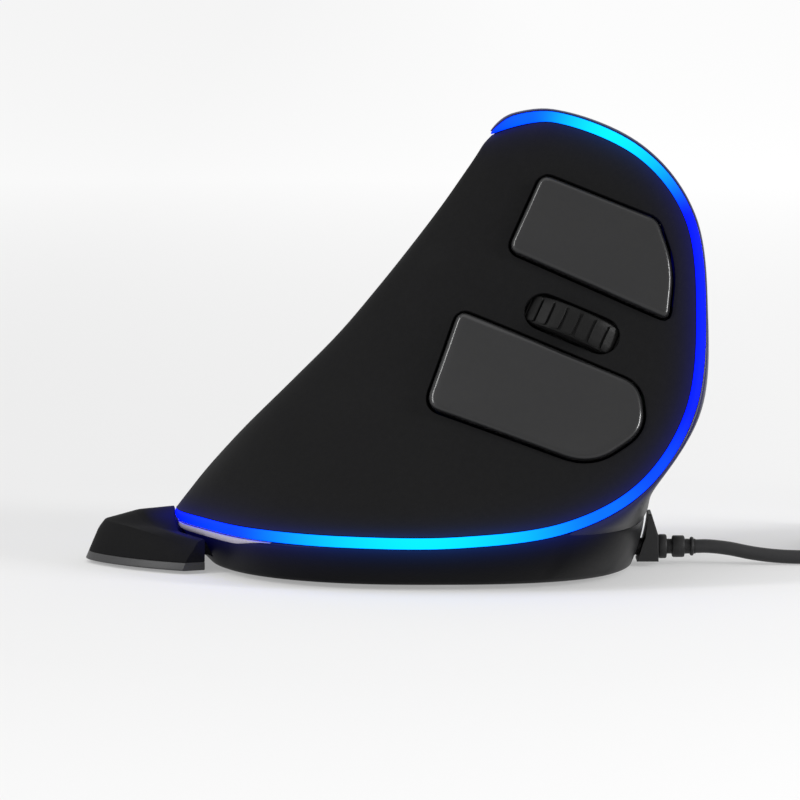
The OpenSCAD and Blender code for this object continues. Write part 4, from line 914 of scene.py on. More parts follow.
class Palette:
    """Every material, made once."""

    def __init__(self) -> None:
        """Builds the shared groups and the materials."""
        effects = Effects()
        finishes = [
            # Pale lilac: a painted reflection of the strip's and floor's light on the base's lip
            Finish("lip_painted_reflection", (0.34, 0.32, 0.40), 0.35, 0.40, 0.0005, 0.000003, 0.08, 0.08),
            # glow: a painted glow, the strip's light on the panels, rim and base painted as emission
            Finish("panel_plastic", (0.0085, 0.0085, 0.0088), 0.60, 0.04, 0.00035, 0.000012, 0.15, 0.10,
                   glow=0.08),
            Finish("rim_plastic", (0.006, 0.006, 0.0065), 0.36, 0.20, 0.0005, 0.000006, 0.10, 0.08, glow=0.10),
            Finish("base_plastic", (0.0025, 0.0025, 0.003), 0.38, 0.06, 0.0004, 0.00001, 0.12, 0.08, glow=0.10),
            Finish("key_plastic", (0.0105, 0.0105, 0.011), 0.36, 0.12, 0.0004, 0.000008, 0.12, 0.10, coat=0.7),
            Finish("button_plastic", (0.012, 0.012, 0.0125), 0.36, 0.40, 0.0004, 0.000008, 0.12, 0.10),
            Finish("tyre_rubber", (0.007, 0.007, 0.007), 0.46, 0.12, 0.0003, 0.00002, 0.15, 0.06),
            Finish("cradle_plastic", (0.07, 0.07, 0.073), 0.5, 0.4, 0.0004),
            Finish("white_plastic", (0.72, 0.72, 0.69), 0.45, 0.4, 0.0004, mottle=0.04),
            Finish("lamp_resin", (0.82, 0.8, 0.6), 0.2, 0.5, 0.0004, mottle=0.04),
            Finish("white_strip", (0.75, 0.75, 0.75), 0.5, 0.4, 0.0004, mottle=0.05),
            Finish("circuit_board", (0.006, 0.06, 0.022), 0.35, 0.5, 0.0008, 0.00002, 0.3),
            Finish("chip_black", (0.008, 0.008, 0.009), 0.55, 0.35, 0.0002, 0.00001, 0.2),
            Finish("plated_steel", (0.55, 0.55, 0.57), 0.28, 0.5, 0.0003, 0.000003, 0.06, 0.12, metallic=1.0),
            # glow: the strip's light on the palm rest, painted as emission
            Finish("palm_plastic", (0.0075, 0.0075, 0.0078), 0.58, 0.04, 0.0004, 0.000012, 0.15, 0.10,
                   glow=0.08),
            Finish("palm_plate", (0.043, 0.043, 0.044), 0.42, 0.26, 0.0004, 0.00001, 0.12, 0.08),
            Finish("glide", (0.014, 0.014, 0.0145), 0.25, 0.4, 0.0006, 0.000004, 0.12, 0.12),
            Finish("pad_rubber", (0.012, 0.012, 0.0125), 0.6, 0.25, 0.0003, 0.00002),
            Finish("cable_rubber", (0.021, 0.021, 0.022), 0.46, 0.32, 0.0003, 0.00001, 0.14, 0.08),
            Finish("boot_rubber", (0.015, 0.015, 0.0155), 0.48, 0.30, 0.0003, 0.00001, 0.14, 0.08),
            Finish("tie_band", (0.006, 0.006, 0.006), 0.8, 0.2, 0.0005, 0.00008, 0.35, 0.05),
            Finish("plug_plastic", (0.012, 0.012, 0.0125), 0.4, 0.4, 0.0004, 0.00001),
            Finish("ribbon", (0.55, 0.55, 0.52), 0.4, 0.4, 0.0006, mottle=0.08),
        ]
        self.made = {f.name: f.material(effects) for f in finishes}
        self.made["lit_guide"] = LitFinish(EdgeLight()).material()
        self.made["clear_lens"] = LensFinish().material()

    def __getitem__(self, name: str) -> bpy.types.Material:
        """One material by name."""
        return self.made[name]


def settle(piece: bpy.types.Object, body: Body, slot: str, *nodes: str) -> bpy.types.Object:
    """Lets a piece ride on its body and stand for its solids.

    Args:
        piece: the new piece.
        body: what it moves with.
        slot: the record's material slot; not used.
        nodes: the solids it stands for.

    Returns:
        The same piece.
    """
    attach(piece, body.value)
    if nodes:
        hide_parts(*nodes)
    LOG.info("%s rides on %s for %s", piece.name, body.value, ", ".join(nodes) or "itself")
    return piece


def mark_painted_glow(piece: bpy.types.Object, lines: BodyLines, reach: float = 1.3) -> None:
    """Stores on a piece how near it is to the lit edge, and where along it, for the painted glow of the strip's
    light on it.

    Args:
        piece: the piece, with its final mesh.
        lines: the body's lines.
        reach: how far the painted glow spreads, in millimetres.
    """
    s = np.arange(lines.whole * 40) / 40
    edge = lines.edge_at(s)
    tree = KDTree(len(edge))
    for i, point in enumerate(edge):
        tree.insert(point, i)
    tree.balance()
    found = [tree.find(Vector(v.co) / MM) for v in piece.data.vertices]
    far = np.array([f[2] for f in found]) - lines.guide_w / 2
    place = s[np.array([f[1] for f in found])]
    run = np.where(place > lines.last, lines.whole - place, place) / lines.last
    for label, values in (("near", np.exp(-np.maximum(far, 0) / reach)), ("run", run)):
        piece.data.attributes.new(label, "FLOAT", "POINT").data.foreach_set("value", values)


# Covers, light guide and base

@dataclass(frozen=True)
class Tongues:
    """The two tongues that hold the palm rest in the base, in millimetres."""

    size: Triple = (13.0, 6.0, 2.0)
    back: float = 1.5
    y: float = 9.0
    z: float = 3.8

    def add(self, solid: Solid, lines: BodyLines, side: int, edge: float, gap: float = 0.0) -> None:
        """Adds one tongue, or the shape of its slot.

        Args:
            solid: what it is added to.
            lines: the body's lines.
            side: -1 for the finger side, 1 for the thumb side.
            edge: the softening of its edges.
            gap: how far a slot stands off the tongue.
        """
        long, wide, thick = self.size
        rear = lines.foot_cx - lines.foot_len / 2
        solid.box([long + gap, wide + 2 * gap, thick + 2 * gap],
                  [rear - self.back + gap / 2, side * self.y, self.z], np.eye(3), edge)


@dataclass
class Shells:
    """The moulded covers, the lit guide and the base."""

    lines: BodyLines
    palette: Palette
    cover_seam: float = 1.25
    finger_columns: int = 72
    thumb_columns: int = 48
    rows_per_step: int = 14
    key_gap: float = 0.45
    bevel: float = 0.12
    flange: float = 0.5
    bead: float = 0.35
    cheek_seam: float = 0.05
    # The rear lip's size; it is tallest at the rear and fades away, shaped to carry a painted reflection
    lip_span: float = 2.2
    lip_h: float = 1.0
    lip_fade: float = 0.6
    lip_least: float = 0.05
    # Down the lip, and out from the skirt
    lip_rows: tuple[tuple[float, float], ...] = (
        (0.0, -0.3), (0.0, 0.40), (0.3, 0.52), (0.7, 0.50), (1.0, 0.28), (1.0, -0.3))
    rim_points: int = 10
    bead_from: float = 1.6
    bead_run: float = 2.0
    # Down from the base's rim, and the share of the bead there
    bead_rows: tuple[tuple[float, float], ...] = (
        (1.1, 0.0), (0.8, 0.25), (0.55, 0.8), (0.3, 1.0), (0.12, 0.8), (0.0, 0.35))
    skirt_rows: tuple[float, ...] = (1.0, 0.97, 0.9, 0.8, 0.68, 0.55, 0.4, 0.25)
    inner_rows: tuple[float, ...] = (0.0, 0.2, 0.4, 0.6, 0.8, 1.0)
    sole_in: float = 0.012
    floor_in: float = 0.5
    seat_r: float = 2.2
    seat_deep: float = 0.8
    shank_r: float = 1.1
    window: Triple = (9.0, 5.0, 6.0)
    window_x: float = 6.0
    window_up: float = 0.5
    hole_r: float = 1.6
    hole_run: tuple[float, float] = (34.9, 52.0)
    hole_at: tuple[float, float] = (-4.0, 3.2)
    tongue_gap: float = 0.3

    def cover(self, name: str, low: float, high: float, columns: int) -> bpy.types.Object:
        """One half of the upper skin.

        Args:
            name: the piece's name.
            low: where it starts across the skin.
            high: where it ends.
            columns: faces across it.

        Returns:
            The wall, without its openings.
        """
        s = np.linspace(0, self.lines.last, self.lines.last * self.rows_per_step + 1)
        w = np.linspace(low, high, columns + 1)
        rows, cols = np.meshgrid(s, w, indexing="ij")
        shell = Solid()
        shell.wall(self.lines.skin_at(rows, cols), self.lines.skin_inner(rows, cols))
        return shell.piece(name, self.palette["panel_plastic"], 50)

    def opening(self, on: SkinFrame, guess: tuple[float, float], outline: Array, gap: float,
                deep: float) -> bpy.types.Object:
        """A cutter for one opening, with a softened rim that follows the skin.

        Args:
            on: the frame that the outline lies in.
            guess: where on the skin it is.
            outline: the piece that fills the opening.
            gap: how far the opening stands off it.
            deep: how far the cut reaches under the skin.

        Returns:
            The cutter.
        """
        even = evened(outline, 0.6)
        edge = inset(even, -gap)
        wide = inset(even, -gap - self.bevel)
        skin_edge, skin_wide = self.lines.heights(on, edge, guess), self.lines.heights(on, wide, guess)
        rings = [np.column_stack([edge, np.full(len(edge), -deep)]),
                 np.column_stack([edge, skin_edge - self.bevel]),
                 np.column_stack([wide, skin_wide + 0.02]),
                 np.column_stack([wide, skin_wide + 4])]
        cutter = Solid()
        cutter.loft(np.array([on.place(r) for r in rings]))
        return cutter.piece("cutter", None)

    def guide(self) -> bpy.types.Object:
        """The glowing strip in its seam, with a dark flange behind the covers' rims."""
        s = np.arange(self.lines.whole * 12) / 12
        half, crown, deep = self.lines.guide_w / 2, self.lines.guide_crown, self.lines.guide_d
        wide = half + self.lines.seam + self.flange
        face = [(0, -half), (crown * 0.45, -half * 0.86), (crown * 0.85, -half * 0.5), (crown, 0),
                (crown * 0.85, half * 0.5), (crown * 0.45, half * 0.86), (0, half)]
        hidden = [(-0.06, half), (-deep * 0.6, half * 0.9), (-deep * 0.66, wide), (-deep * 0.8, wide),
                  (-deep, half * 0.5), (-deep, -half * 0.5), (-deep * 0.8, -wide), (-deep * 0.66, -wide),
                  (-deep * 0.6, -half * 0.9), (-0.06, -half)]
        e, o, u = self.lines.edge_at(s), self.lines.edge_out(s), self.lines.edge_up(s)
        thin = self.lines.tip_share(s)
        shift, keep = (half * thin)[:, None], (1 - thin)[:, None]
        rings = np.stack([e + (keep**0.5 * g[0]) * o + (shift + keep * g[1]) * u for g in face + hidden], 1)
        run = np.where(s > self.lines.last, self.lines.whole - s, s) / self.lines.last
        strip = Solid()
        strip.loft(rings, closed=True, marks=run)
        piece = strip.piece("lit_edge", self.palette["lit_guide"], 50, mark="run")
        mask = np.tile([1.0] * len(face) + [0.0] * len(hidden), len(s))
        piece.data.attributes.new("face", "FLOAT", "POINT").data.foreach_set("value", mask)
        return settle(piece, Body.MOUSE, "light_guide", "light_guide")

    def rear_reflection_lip(self) -> bpy.types.Object:
        """The glossy lip of the base, under the strip round the rear end, pale lilac as a painted reflection of
        the strip's and floor's light on it.
        """
        s = np.linspace(-self.lip_span, self.lip_span, 161)
        g, o = self.lines.rim_down(s), self.lines.edge_out(s)
        tall = self.lip_h * smooth((self.lip_span - np.abs(s)) / self.lip_fade) + self.lip_least
        rings = []
        for down, out in self.lip_rows:
            share = down * tall / (g[:, 2] - self.lines.base_z)
            rings.append(self.lines.skirt_at(g, share) + out * o)
        bead = Solid()
        bead.loft(np.stack(rings, 1))
        return settle(bead.piece("rear_reflection_lip", self.palette["lip_painted_reflection"], 50), Body.MOUSE, "rim_plastic")

    def front(self) -> bpy.types.Object:
        """The dark rim in front of and above the lit edge."""
        steps = int(self.lines.last - self.lines.cheek)
        s = np.linspace(self.lines.cheek, self.lines.last, steps * self.rows_per_step + 1)
        w = np.linspace(1, 0, 41)
        rows, cols = np.meshgrid(s, w, indexing="ij")
        outer, inner = self.lines.band_at(rows, cols), self.lines.band_inner(rows, cols)
        drop = [0, 0, 2 * self.lines.seam - self.cheek_seam]
        outer[0] -= drop
        inner[0] -= drop
        band = Solid()
        band.wall(outer, inner)
        return settle(band.piece("front_rim", self.palette["rim_plastic"], 50), Body.MOUSE, "rim_plastic",
                      "front_cover")

    def base(self) -> bpy.types.Object:
        """The skirt and floor under the lit edge, with the openings in its floor and walls."""
        per = self.rim_points
        rim = self.lines.base_rim(per)
        run = np.zeros(len(rim))
        side = int(per * self.lines.cheek) + 1
        run[:side] = np.arange(side) / per
        run[side:] = self.lines.cheek
        run[1 - side:] = np.arange(side - 1, 0, -1) / per
        swell = (1 - smooth((run - self.bead_from) / self.bead_run))[:, None] * self.bead
        away = unit(np.column_stack([rim[:, :2] - [self.lines.foot_cx, 0], np.zeros(len(rim))]))
        tall = rim[:, 2] - self.lines.base_z
        lip = [self.lines.skirt_at(rim, h / tall) + away * swell * k for h, k in self.bead_rows]
        outside = [self.lines.skirt_at(rim, d) for d in self.skirt_rows]
        sole = outside[0].copy()
        outside[0][:, :2] = lerp(outside[0][:, :2], [self.lines.foot_cx, 0], self.sole_in)
        middle = sole.copy()
        middle[:, :2] = lerp(sole[:, :2], [self.lines.foot_cx, 0], self.floor_in)
        inside = [self.lines.skirt_inner(rim, d) for d in self.inner_rows]
        bowl = Solid()
        bowl.loft(np.array([middle, *outside, *lip, *inside]))
        piece = bowl.piece("base_shell_skin", self.palette["base_plastic"], 45)
        carved(piece, self._base_cuts(), 45)
        return piece

    def _base_cuts(self) -> list[bpy.types.Object]:
        """Cutters for the screw seats, the sensor window, the boot and the palm rest's tongues."""
        low, floor = self.lines.base_z, self.lines.base_z + self.lines.floor_t
        ledge = low + self.seat_deep
        shapes = []
        for x, y in SCREWS_AT:
            seat = Solid()
            seat.revolve([(0, -1), (self.seat_r, -1), (self.seat_r, ledge), (self.shank_r, ledge),
                          (self.shank_r, floor + 1), (0, floor + 1)], [x, y, 0], [0, 0, 1], 40)
            shapes.append(seat)
        window = Solid()
        window.box(list(self.window), [self.window_x, 0, low + self.window_up], np.eye(3), 0.3)
        hole = Solid()
        start, end = self.hole_run
        hole.revolve([(0, start), (self.hole_r, start), (self.hole_r, end), (0, end)],
                     [0, *self.hole_at], [1, 0, 0], 40)
        shapes += [window, hole]
        for side in (-1, 1):
            slot = Solid()
            Tongues().add(slot, self.lines, side, 0.1, self.tongue_gap)
            shapes.append(slot)
        return [shape.piece("cutter", None) for shape in shapes]


# Keys, wheel and buttons

@dataclass
class Caps:
    """Key caps and buttons that follow the skin, in one frame."""

    lines: BodyLines
    on: SkinFrame
    spot: tuple[float, float]
    material: bpy.types.Material
    proud: float
    deep: float
    edge: float = 1.0
    crown: float = 0.25
    wall: float = 1.5

    def _lifted(self, xy: Array, up: float) -> Array:
        """Points at a height over the skin."""
        return np.column_stack([xy, self.lines.heights(self.on, xy, self.spot) + up])

    def cap(self, outline: Array) -> Solid:
        """A hollow cap with a rounded rim and a crowned face.

        Args:
            outline: its outline in the frame.

        Returns:
            The cap, in the mouse's own frame.
        """
        even = evened(outline, 0.55)
        middle = (even.min(0) + even.max(0)) / 2
        inner = inset(even, self.wall)
        rings = [np.column_stack([lerp(inner, middle, 0.97), np.full(len(even), -self.wall)]),
                 np.column_stack([inner, np.full(len(even), -self.wall)]),
                 np.column_stack([inner, np.full(len(even), -self.deep)]),
                 np.column_stack([even, np.full(len(even), -self.deep)])]
        for turn in np.radians([0, 18, 36, 54, 72, 90]):
            ring = inset(even, self.edge * (1 - math.cos(turn)))
            rings.append(self._lifted(ring, self.proud - self.edge * (1 - math.sin(turn))))
        top = inset(even, self.edge)
        for k in (0.06, 0.15, 0.3, 0.5, 0.7, 0.88, 0.985):
            rings.append(self._lifted(lerp(top, middle, k), self.proud + self.crown * (1 - (1 - k) ** 2)))
        solid = Solid()
        solid.loft(np.array([self.on.place(r) for r in rings]))
        return solid


@dataclass
class FingerSide:
    """The two large keys and the wheel."""

    lines: BodyLines
    palette: Palette
    spot: tuple[float, float] = (7.25, 0.35)
    slope: float = 25.0
    key_proud: float = 1.2
    key_deep: float = 3.4
    arm_t: float = 1.4
    arm_z: float = -6.6
    arm_reach: float = 5.8
    pivot_z: float = -7.0
    pivot_r: float = 1.0
    barrel_r: float = 1.7
    barrel_len: float = 7.0
    stub_len: float = 1.8
    switch_x: float = 4.0
    left_pivot: tuple[float, float] = (-19.0, 12.8)
    left_switch: float = 12.6
    right_pivot: tuple[float, float] = (-22.5, -13.0)
    right_switch: float = -13.0
    nib_z: float = -5.6
    nib_r: float = 1.5
    wheel_d: float = 22.6
    wheel_w: float = 5.2
    wheel_proud: float = 2.2
    tyre_t: float = 2.6
    lug_count: int = 28
    lug_deep: float = 0.3
    slot_len: float = 17.2
    wheel_gap: float = 0.6

    def __post_init__(self) -> None:
        """Lays out the frame and the two outlines."""
        self.on = self.lines.frame_on(self.spot[0], self.spot[1], self.slope)
        self.left = rounded([[-15.3, 7.4], [14.9, 6.8], [12.1, 15.6], [6.2, 22], [-15.3, 21.8]],
                            [2, 1.6, 4, 1.4, 2])
        self.right = rounded([[-17.4, -22.8], [13.5, -21.6], [19.2, -12], [14.8, -5.2], [-18.9, -5.2]],
                             [3, 5, 4, 3, 2])
        self.wheel_z = self.wheel_proud - self.wheel_d / 2

    def key(self, name: str, outline: Array, pivot: tuple[float, float], switch_y: float, body: Body,
            node: str) -> bpy.types.Object:
        """A key cap with the arm, barrel and nib underneath.

        Args:
            name: the piece's name.
            outline: the cap's outline.
            pivot: where its arm turns.
            switch_y: the place of its switch across the frame.
            body: what it moves with.
            node: the solid it stands for.

        Returns:
            The piece.
        """
        caps = Caps(self.lines, self.on, self.spot, self.palette["key_plastic"], self.key_proud, self.key_deep)
        solid = caps.cap(outline)
        place, axes = self.on.place, self.on.axes
        solid.box([self.arm_reach, self.barrel_len, self.arm_t],
                  place([pivot[0] + self.arm_reach / 2, pivot[1], self.arm_z + self.arm_t / 2]), axes)
        riser = -self.arm_z - self.key_deep + 1
        solid.box([self.arm_t, self.barrel_len, riser],
                  place([pivot[0] + self.arm_reach - self.arm_t / 2, pivot[1], self.arm_z + riser / 2]), axes)
        for radius, half in ((self.barrel_r, self.barrel_len / 2),
                             (self.pivot_r, self.barrel_len / 2 + self.stub_len)):
            solid.revolve([(0, -half), (radius - 0.1, -half), (radius, -half + 0.1), (radius, half - 0.1),
                           (radius - 0.1, half), (0, half)],
                          place([pivot[0], pivot[1], self.pivot_z]), self.on.across, 32)
        root = -self.nib_z - caps.wall / 2
        solid.revolve([(0, 0), (self.nib_r - 0.2, 0), (self.nib_r, 0.2), (self.nib_r, root), (0, root)],
                      place([self.switch_x, switch_y, self.nib_z]), self.on.out, 32)
        return settle(solid.piece(name, caps.material, 40), body, "key_plastic", node)

    def wheel(self) -> bpy.types.Object:
        """The tyre: a turned ring with moulded lugs round it."""
        tyre = LugRing(self.wheel_d / 2, self.wheel_w, self.tyre_t, self.lug_count, self.lug_deep)
        piece = tyre.piece("wheel_tyre_tread", self.palette["tyre_rubber"],
                           self.on.matrix([0, 0, self.wheel_z]))
        return settle(piece, Body.WHEEL, "tyre_rubber", "wheel_tyre")


class NodeShop:
    """A geometry node tree under construction, with named number inputs."""

    def __init__(self, name: str, inputs: dict[str, float], material: bpy.types.Material) -> None:
        """Starts a tree.

        Args:
            name: the tree's name.
            inputs: its named sizes.
            material: what the result is made of.
        """
        self.tree = bpy.data.node_groups.new(name, "GeometryNodeTree")
        self.tree.interface.new_socket(name="Geometry", in_out="INPUT", socket_type="NodeSocketGeometry")
        self.values = {}
        for label, value in inputs.items():
            kind = "NodeSocketInt" if isinstance(value, int) else "NodeSocketFloat"
            item = self.tree.interface.new_socket(name=label, in_out="INPUT", socket_type=kind)
            self.values[item.identifier] = value
        self.tree.interface.new_socket(name="Geometry", in_out="OUTPUT", socket_type="NodeSocketGeometry")
        self.source = self.tree.nodes.new("NodeGroupInput").outputs
        self.material = material

    def add(self, kind: str, links: Optional[dict[str, bpy.types.NodeSocket]] = None,
            **settings: object) -> bpy.types.Node:
        """Adds a node to the tree."""
        return add_node(self.tree, kind, links or {}, **settings)

    def finish(self, geometry: bpy.types.NodeSocket, name: str, start: bpy.types.Mesh) -> bpy.types.Mesh:
        """Realises the tree as a plain mesh.

        Args:
            geometry: the socket that holds the result.
            name: the mesh's name.
            start: the mesh that enters the tree.

        Returns:
            The finished mesh.
        """
        real = self.add("GeometryNodeRealizeInstances", {"Geometry": geometry})
        dressed = self.add("GeometryNodeSetMaterial", {"Geometry": real.outputs[0]})
        dressed.inputs["Material"].default_value = self.material
        out = self.tree.nodes.new("NodeGroupOutput")
        self.tree.links.new(dressed.outputs[0], out.inputs[0])
        holder = linked(name, start)
        step = holder.modifiers.new("shape", "NODES")
        step.node_group = self.tree
        for identifier, value in self.values.items():
            step[identifier] = value
        graph = bpy.context.evaluated_depsgraph_get()
        mesh = bpy.data.meshes.new_from_object(holder.evaluated_get(graph))
        holder.modifiers.remove(step)
        bpy.data.objects.remove(holder)
        mesh.name = name
        return mesh


@dataclass
class LugRing:
    """A rubber tyre with a row of lugs, in millimetres."""

    radius: float
    width: float
    thick: float
    count: int
    deep: float
    gap: float = 0.4
    edge: float = 0.7
    soft: float = 0.2
    crease: float = 0.72
    sides: int = 112
    rise: float = 1.6

    def _ring(self) -> bpy.types.Mesh:
        """The turned ring under the lugs, its axis along Y."""
        outer, half, low = self.radius - self.deep, self.width / 2, self.radius - self.thick
        edge, soft = self.edge, self.soft
        profile = [(low, -half), (outer - edge, -half), (outer - soft, -half + soft), (outer, -half + edge),
                   (outer, half - edge), (outer - soft, half - soft), (outer - edge, half), (low, half)]
        a = np.linspace(0, 2 * np.pi, self.sides, endpoint=False)
        rings = np.stack([np.stack([r * np.cos(a), np.full_like(a, y), r * np.sin(a)], -1)
                          for r, y in profile])
        ring = Solid()
        ring.loft(rings, closed=True)
        holder = ring.piece("tyre_ring", None, 40)
        mesh = holder.data
        bpy.data.objects.remove(holder)
        return mesh

    def piece(self, name: str, material: bpy.types.Material, place: Matrix) -> bpy.types.Object:
        """Builds the tyre.

        Args:
            name: the piece's name.
            material: its rubber.
            place: where it sits, its axis along Y.

        Returns:
            The piece.
        """
        step = 2 * math.pi * self.radius / self.count
        shop = NodeShop("tyre_lugs", {
            "Lug Count": self.count, "Lug Radius": (self.radius - self.deep / 2) * MM,
            "Lug Length": (step - self.gap) * MM, "Lug Width": (self.width - self.edge) * MM,
            "Lug Height": self.deep * self.rise * MM}, material)
        circle = shop.add("GeometryNodeMeshCircle", {"Vertices": shop.source["Lug Count"],
                                                     "Radius": shop.source["Lug Radius"]})
        size = shop.add("ShaderNodeCombineXYZ", {"X": shop.source["Lug Height"], "Y": shop.source["Lug Length"],
                                                 "Z": shop.source["Lug Width"]})
        block = shop.add("GeometryNodeMeshCube", {"Size": size.outputs[0]})
        soft = shop.add("GeometryNodeSubdivisionSurface", {"Mesh": block.outputs["Mesh"]}, Level=2)
        soft.inputs["Edge Crease"].default_value = self.crease
        index = shop.add("GeometryNodeInputIndex")
        share = shop.add("ShaderNodeMath", {"0": index.outputs[0], "1": shop.source["Lug Count"]},
                         operation="DIVIDE")
        turn = shop.add("ShaderNodeCombineXYZ", {"Z": scaled(shop.tree, share.outputs[0], 2 * math.pi)})
        lugs = shop.add("GeometryNodeInstanceOnPoints", {
            "Points": circle.outputs["Mesh"], "Instance": soft.outputs[0], "Rotation": turn.outputs[0]})
        upright = shop.add("GeometryNodeTransform", {"Geometry": lugs.outputs[0]})
        upright.inputs["Rotation"].default_value = (math.pi / 2, 0, 0)
        join = shop.add("GeometryNodeJoinGeometry")
        shop.tree.links.new(shop.source["Geometry"], join.inputs[0])
        shop.tree.links.new(upright.outputs[0], join.inputs[0])
        mesh = shop.finish(join.outputs[0], name, self._ring())
        mesh.transform(place)
        shaded(mesh, 45)
        return linked(name, mesh)


@dataclass
class ScrewSet:
    """Cross-recessed screws that point up from under the base, in millimetres."""

    places: Sequence[tuple[float, float]]
    base_z: float
    head_r: float = 2.1
    head_h: float = 0.7
    shank_r: float = 1.0
    shank_len: float = 8.0
    slot: tuple[float, float, float] = (2.4, 0.55, 0.45)
    gap: float = 0.1

    def piece(self, name: str, material: bpy.types.Material) -> bpy.types.Object:
        """Builds the screws.

        Args:
            name: the piece's name.
            material: their metal.

        Returns:
            The piece.
        """
        long, wide, deep = self.slot
        sizes = {"Head Radius": self.head_r, "Head Height": self.head_h, "Shank Radius": self.shank_r,
                 "Shank Length": self.shank_len, "Slot Length": long, "Slot Width": wide,
                 "Slot Depth": 2 * deep}
        shop = NodeShop("base_screw_heads", {label: size * MM for label, size in sizes.items()}, material)
        head = shop.add("GeometryNodeMeshCylinder", {"Radius": shop.source["Head Radius"],
                                                     "Depth": shop.source["Head Height"]}, Vertices=40)
        lift = shop.add("ShaderNodeCombineXYZ", {"Z": scaled(shop.tree, shop.source["Head Height"], 0.5)})
        raised = shop.add("GeometryNodeTransform", {"Geometry": head.outputs["Mesh"],
                                                    "Translation": lift.outputs[0]})
        join_slots = shop.add("GeometryNodeJoinGeometry")
        for one, other in (("Slot Length", "Slot Width"), ("Slot Width", "Slot Length")):
            size = shop.add("ShaderNodeCombineXYZ", {"X": shop.source[one], "Y": shop.source[other],
                                                     "Z": shop.source["Slot Depth"]})
            bar = shop.add("GeometryNodeMeshCube", {"Size": size.outputs[0]})
            shop.tree.links.new(bar.outputs["Mesh"], join_slots.inputs[0])
        cut = shop.add("GeometryNodeMeshBoolean", {"Mesh 1": raised.outputs[0],
                                                   "Mesh 2": join_slots.outputs[0]}, operation="DIFFERENCE")
        shank = shop.add("GeometryNodeMeshCylinder", {"Radius": shop.source["Shank Radius"],
                                                      "Depth": shop.source["Shank Length"]}, Vertices=24)
        half = scaled(shop.tree, shop.source["Shank Length"], 0.5)
        under = shop.add("ShaderNodeMath", {"0": half, "1": shop.source["Slot Depth"]}, operation="ADD")
        up = shop.add("ShaderNodeCombineXYZ", {"Z": under.outputs[0]})
        stood = shop.add("GeometryNodeTransform", {"Geometry": shank.outputs["Mesh"],
                                                   "Translation": up.outputs[0]})
        screw = shop.add("GeometryNodeJoinGeometry")
        shop.tree.links.new(cut.outputs["Mesh"], screw.inputs[0])
        shop.tree.links.new(stood.outputs[0], screw.inputs[0])
        each = shop.add("GeometryNodeInstanceOnPoints", {"Points": shop.source["Geometry"],
                                                         "Instance": screw.outputs[0]})
        start = bpy.data.meshes.new("screw_places")
        start.from_pydata([(x * MM, y * MM, (self.base_z + self.gap) * MM) for x, y in self.places], [], [])
        mesh = shop.finish(each.outputs[0], name, start)
        shaded(mesh, 35)
        return settle(linked(name, mesh), Body.MOUSE, "steel", "base_screws")


@dataclass
class ThumbSide:
    """The forward, back and pointer speed buttons."""

    lines: BodyLines
    palette: Palette
    spot: tuple[float, float] = (7.5, 1.55)
    slope: float = 14.0
    long_len: float = 15.0
    short_len: float = 8.0
    width: float = 5.4
    proud: float = 1.0
    deep: float = 3.0
    flange_t: float = 1.0
    flange_lip: float = 0.8
    stem_r: float = 1.6
    stem_z: float = -4.7

    def __post_init__(self) -> None:
        """Lays out the frame and the three outlines."""
        self.on = self.lines.frame_on(self.spot[0], self.spot[1], self.slope)
        self.places = {Body.FORWARD: (13.0, 3.0), Body.BACK: (-4.0, 4.0), Body.SPEED: (3.0, 13.0)}
        self.outlines = {}
        for body, at in self.places.items():
            length = self.short_len if body is Body.SPEED else self.long_len
            self.outlines[body] = slot_outline(length, self.width) + np.array(at)

    def button(self, body: Body) -> bpy.types.Object:
        """One button with its flange and stem.

        Args:
            body: which button.

        Returns:
            The piece.
        """
        caps = Caps(self.lines, self.on, self.spot, self.palette["button_plastic"], self.proud, self.deep,
                    edge=0.9, crown=0.35, wall=1.2)
        solid = caps.cap(self.outlines[body])
        at = self.places[body]
        lip = inset(evened(self.outlines[body], 0.6), -self.flange_lip)
        low, high = -self.deep - self.flange_t, -self.deep
        solid.loft(np.array([self.on.place(np.column_stack([lip, np.full(len(lip), z)])) for z in (low, high)]))
        solid.revolve([(0, 0), (self.stem_r - 0.2, 0), (self.stem_r, 0.2), (self.stem_r, high - self.stem_z),
                       (0, high - self.stem_z)],
                      self.on.place([at[0], at[1], self.stem_z]), self.on.out, 32)
        piece = solid.piece(f"{body.value}_button_cap", caps.material, 40)
        return settle(piece, body, "key_plastic", f"{body.value}_button")


# Palm rest

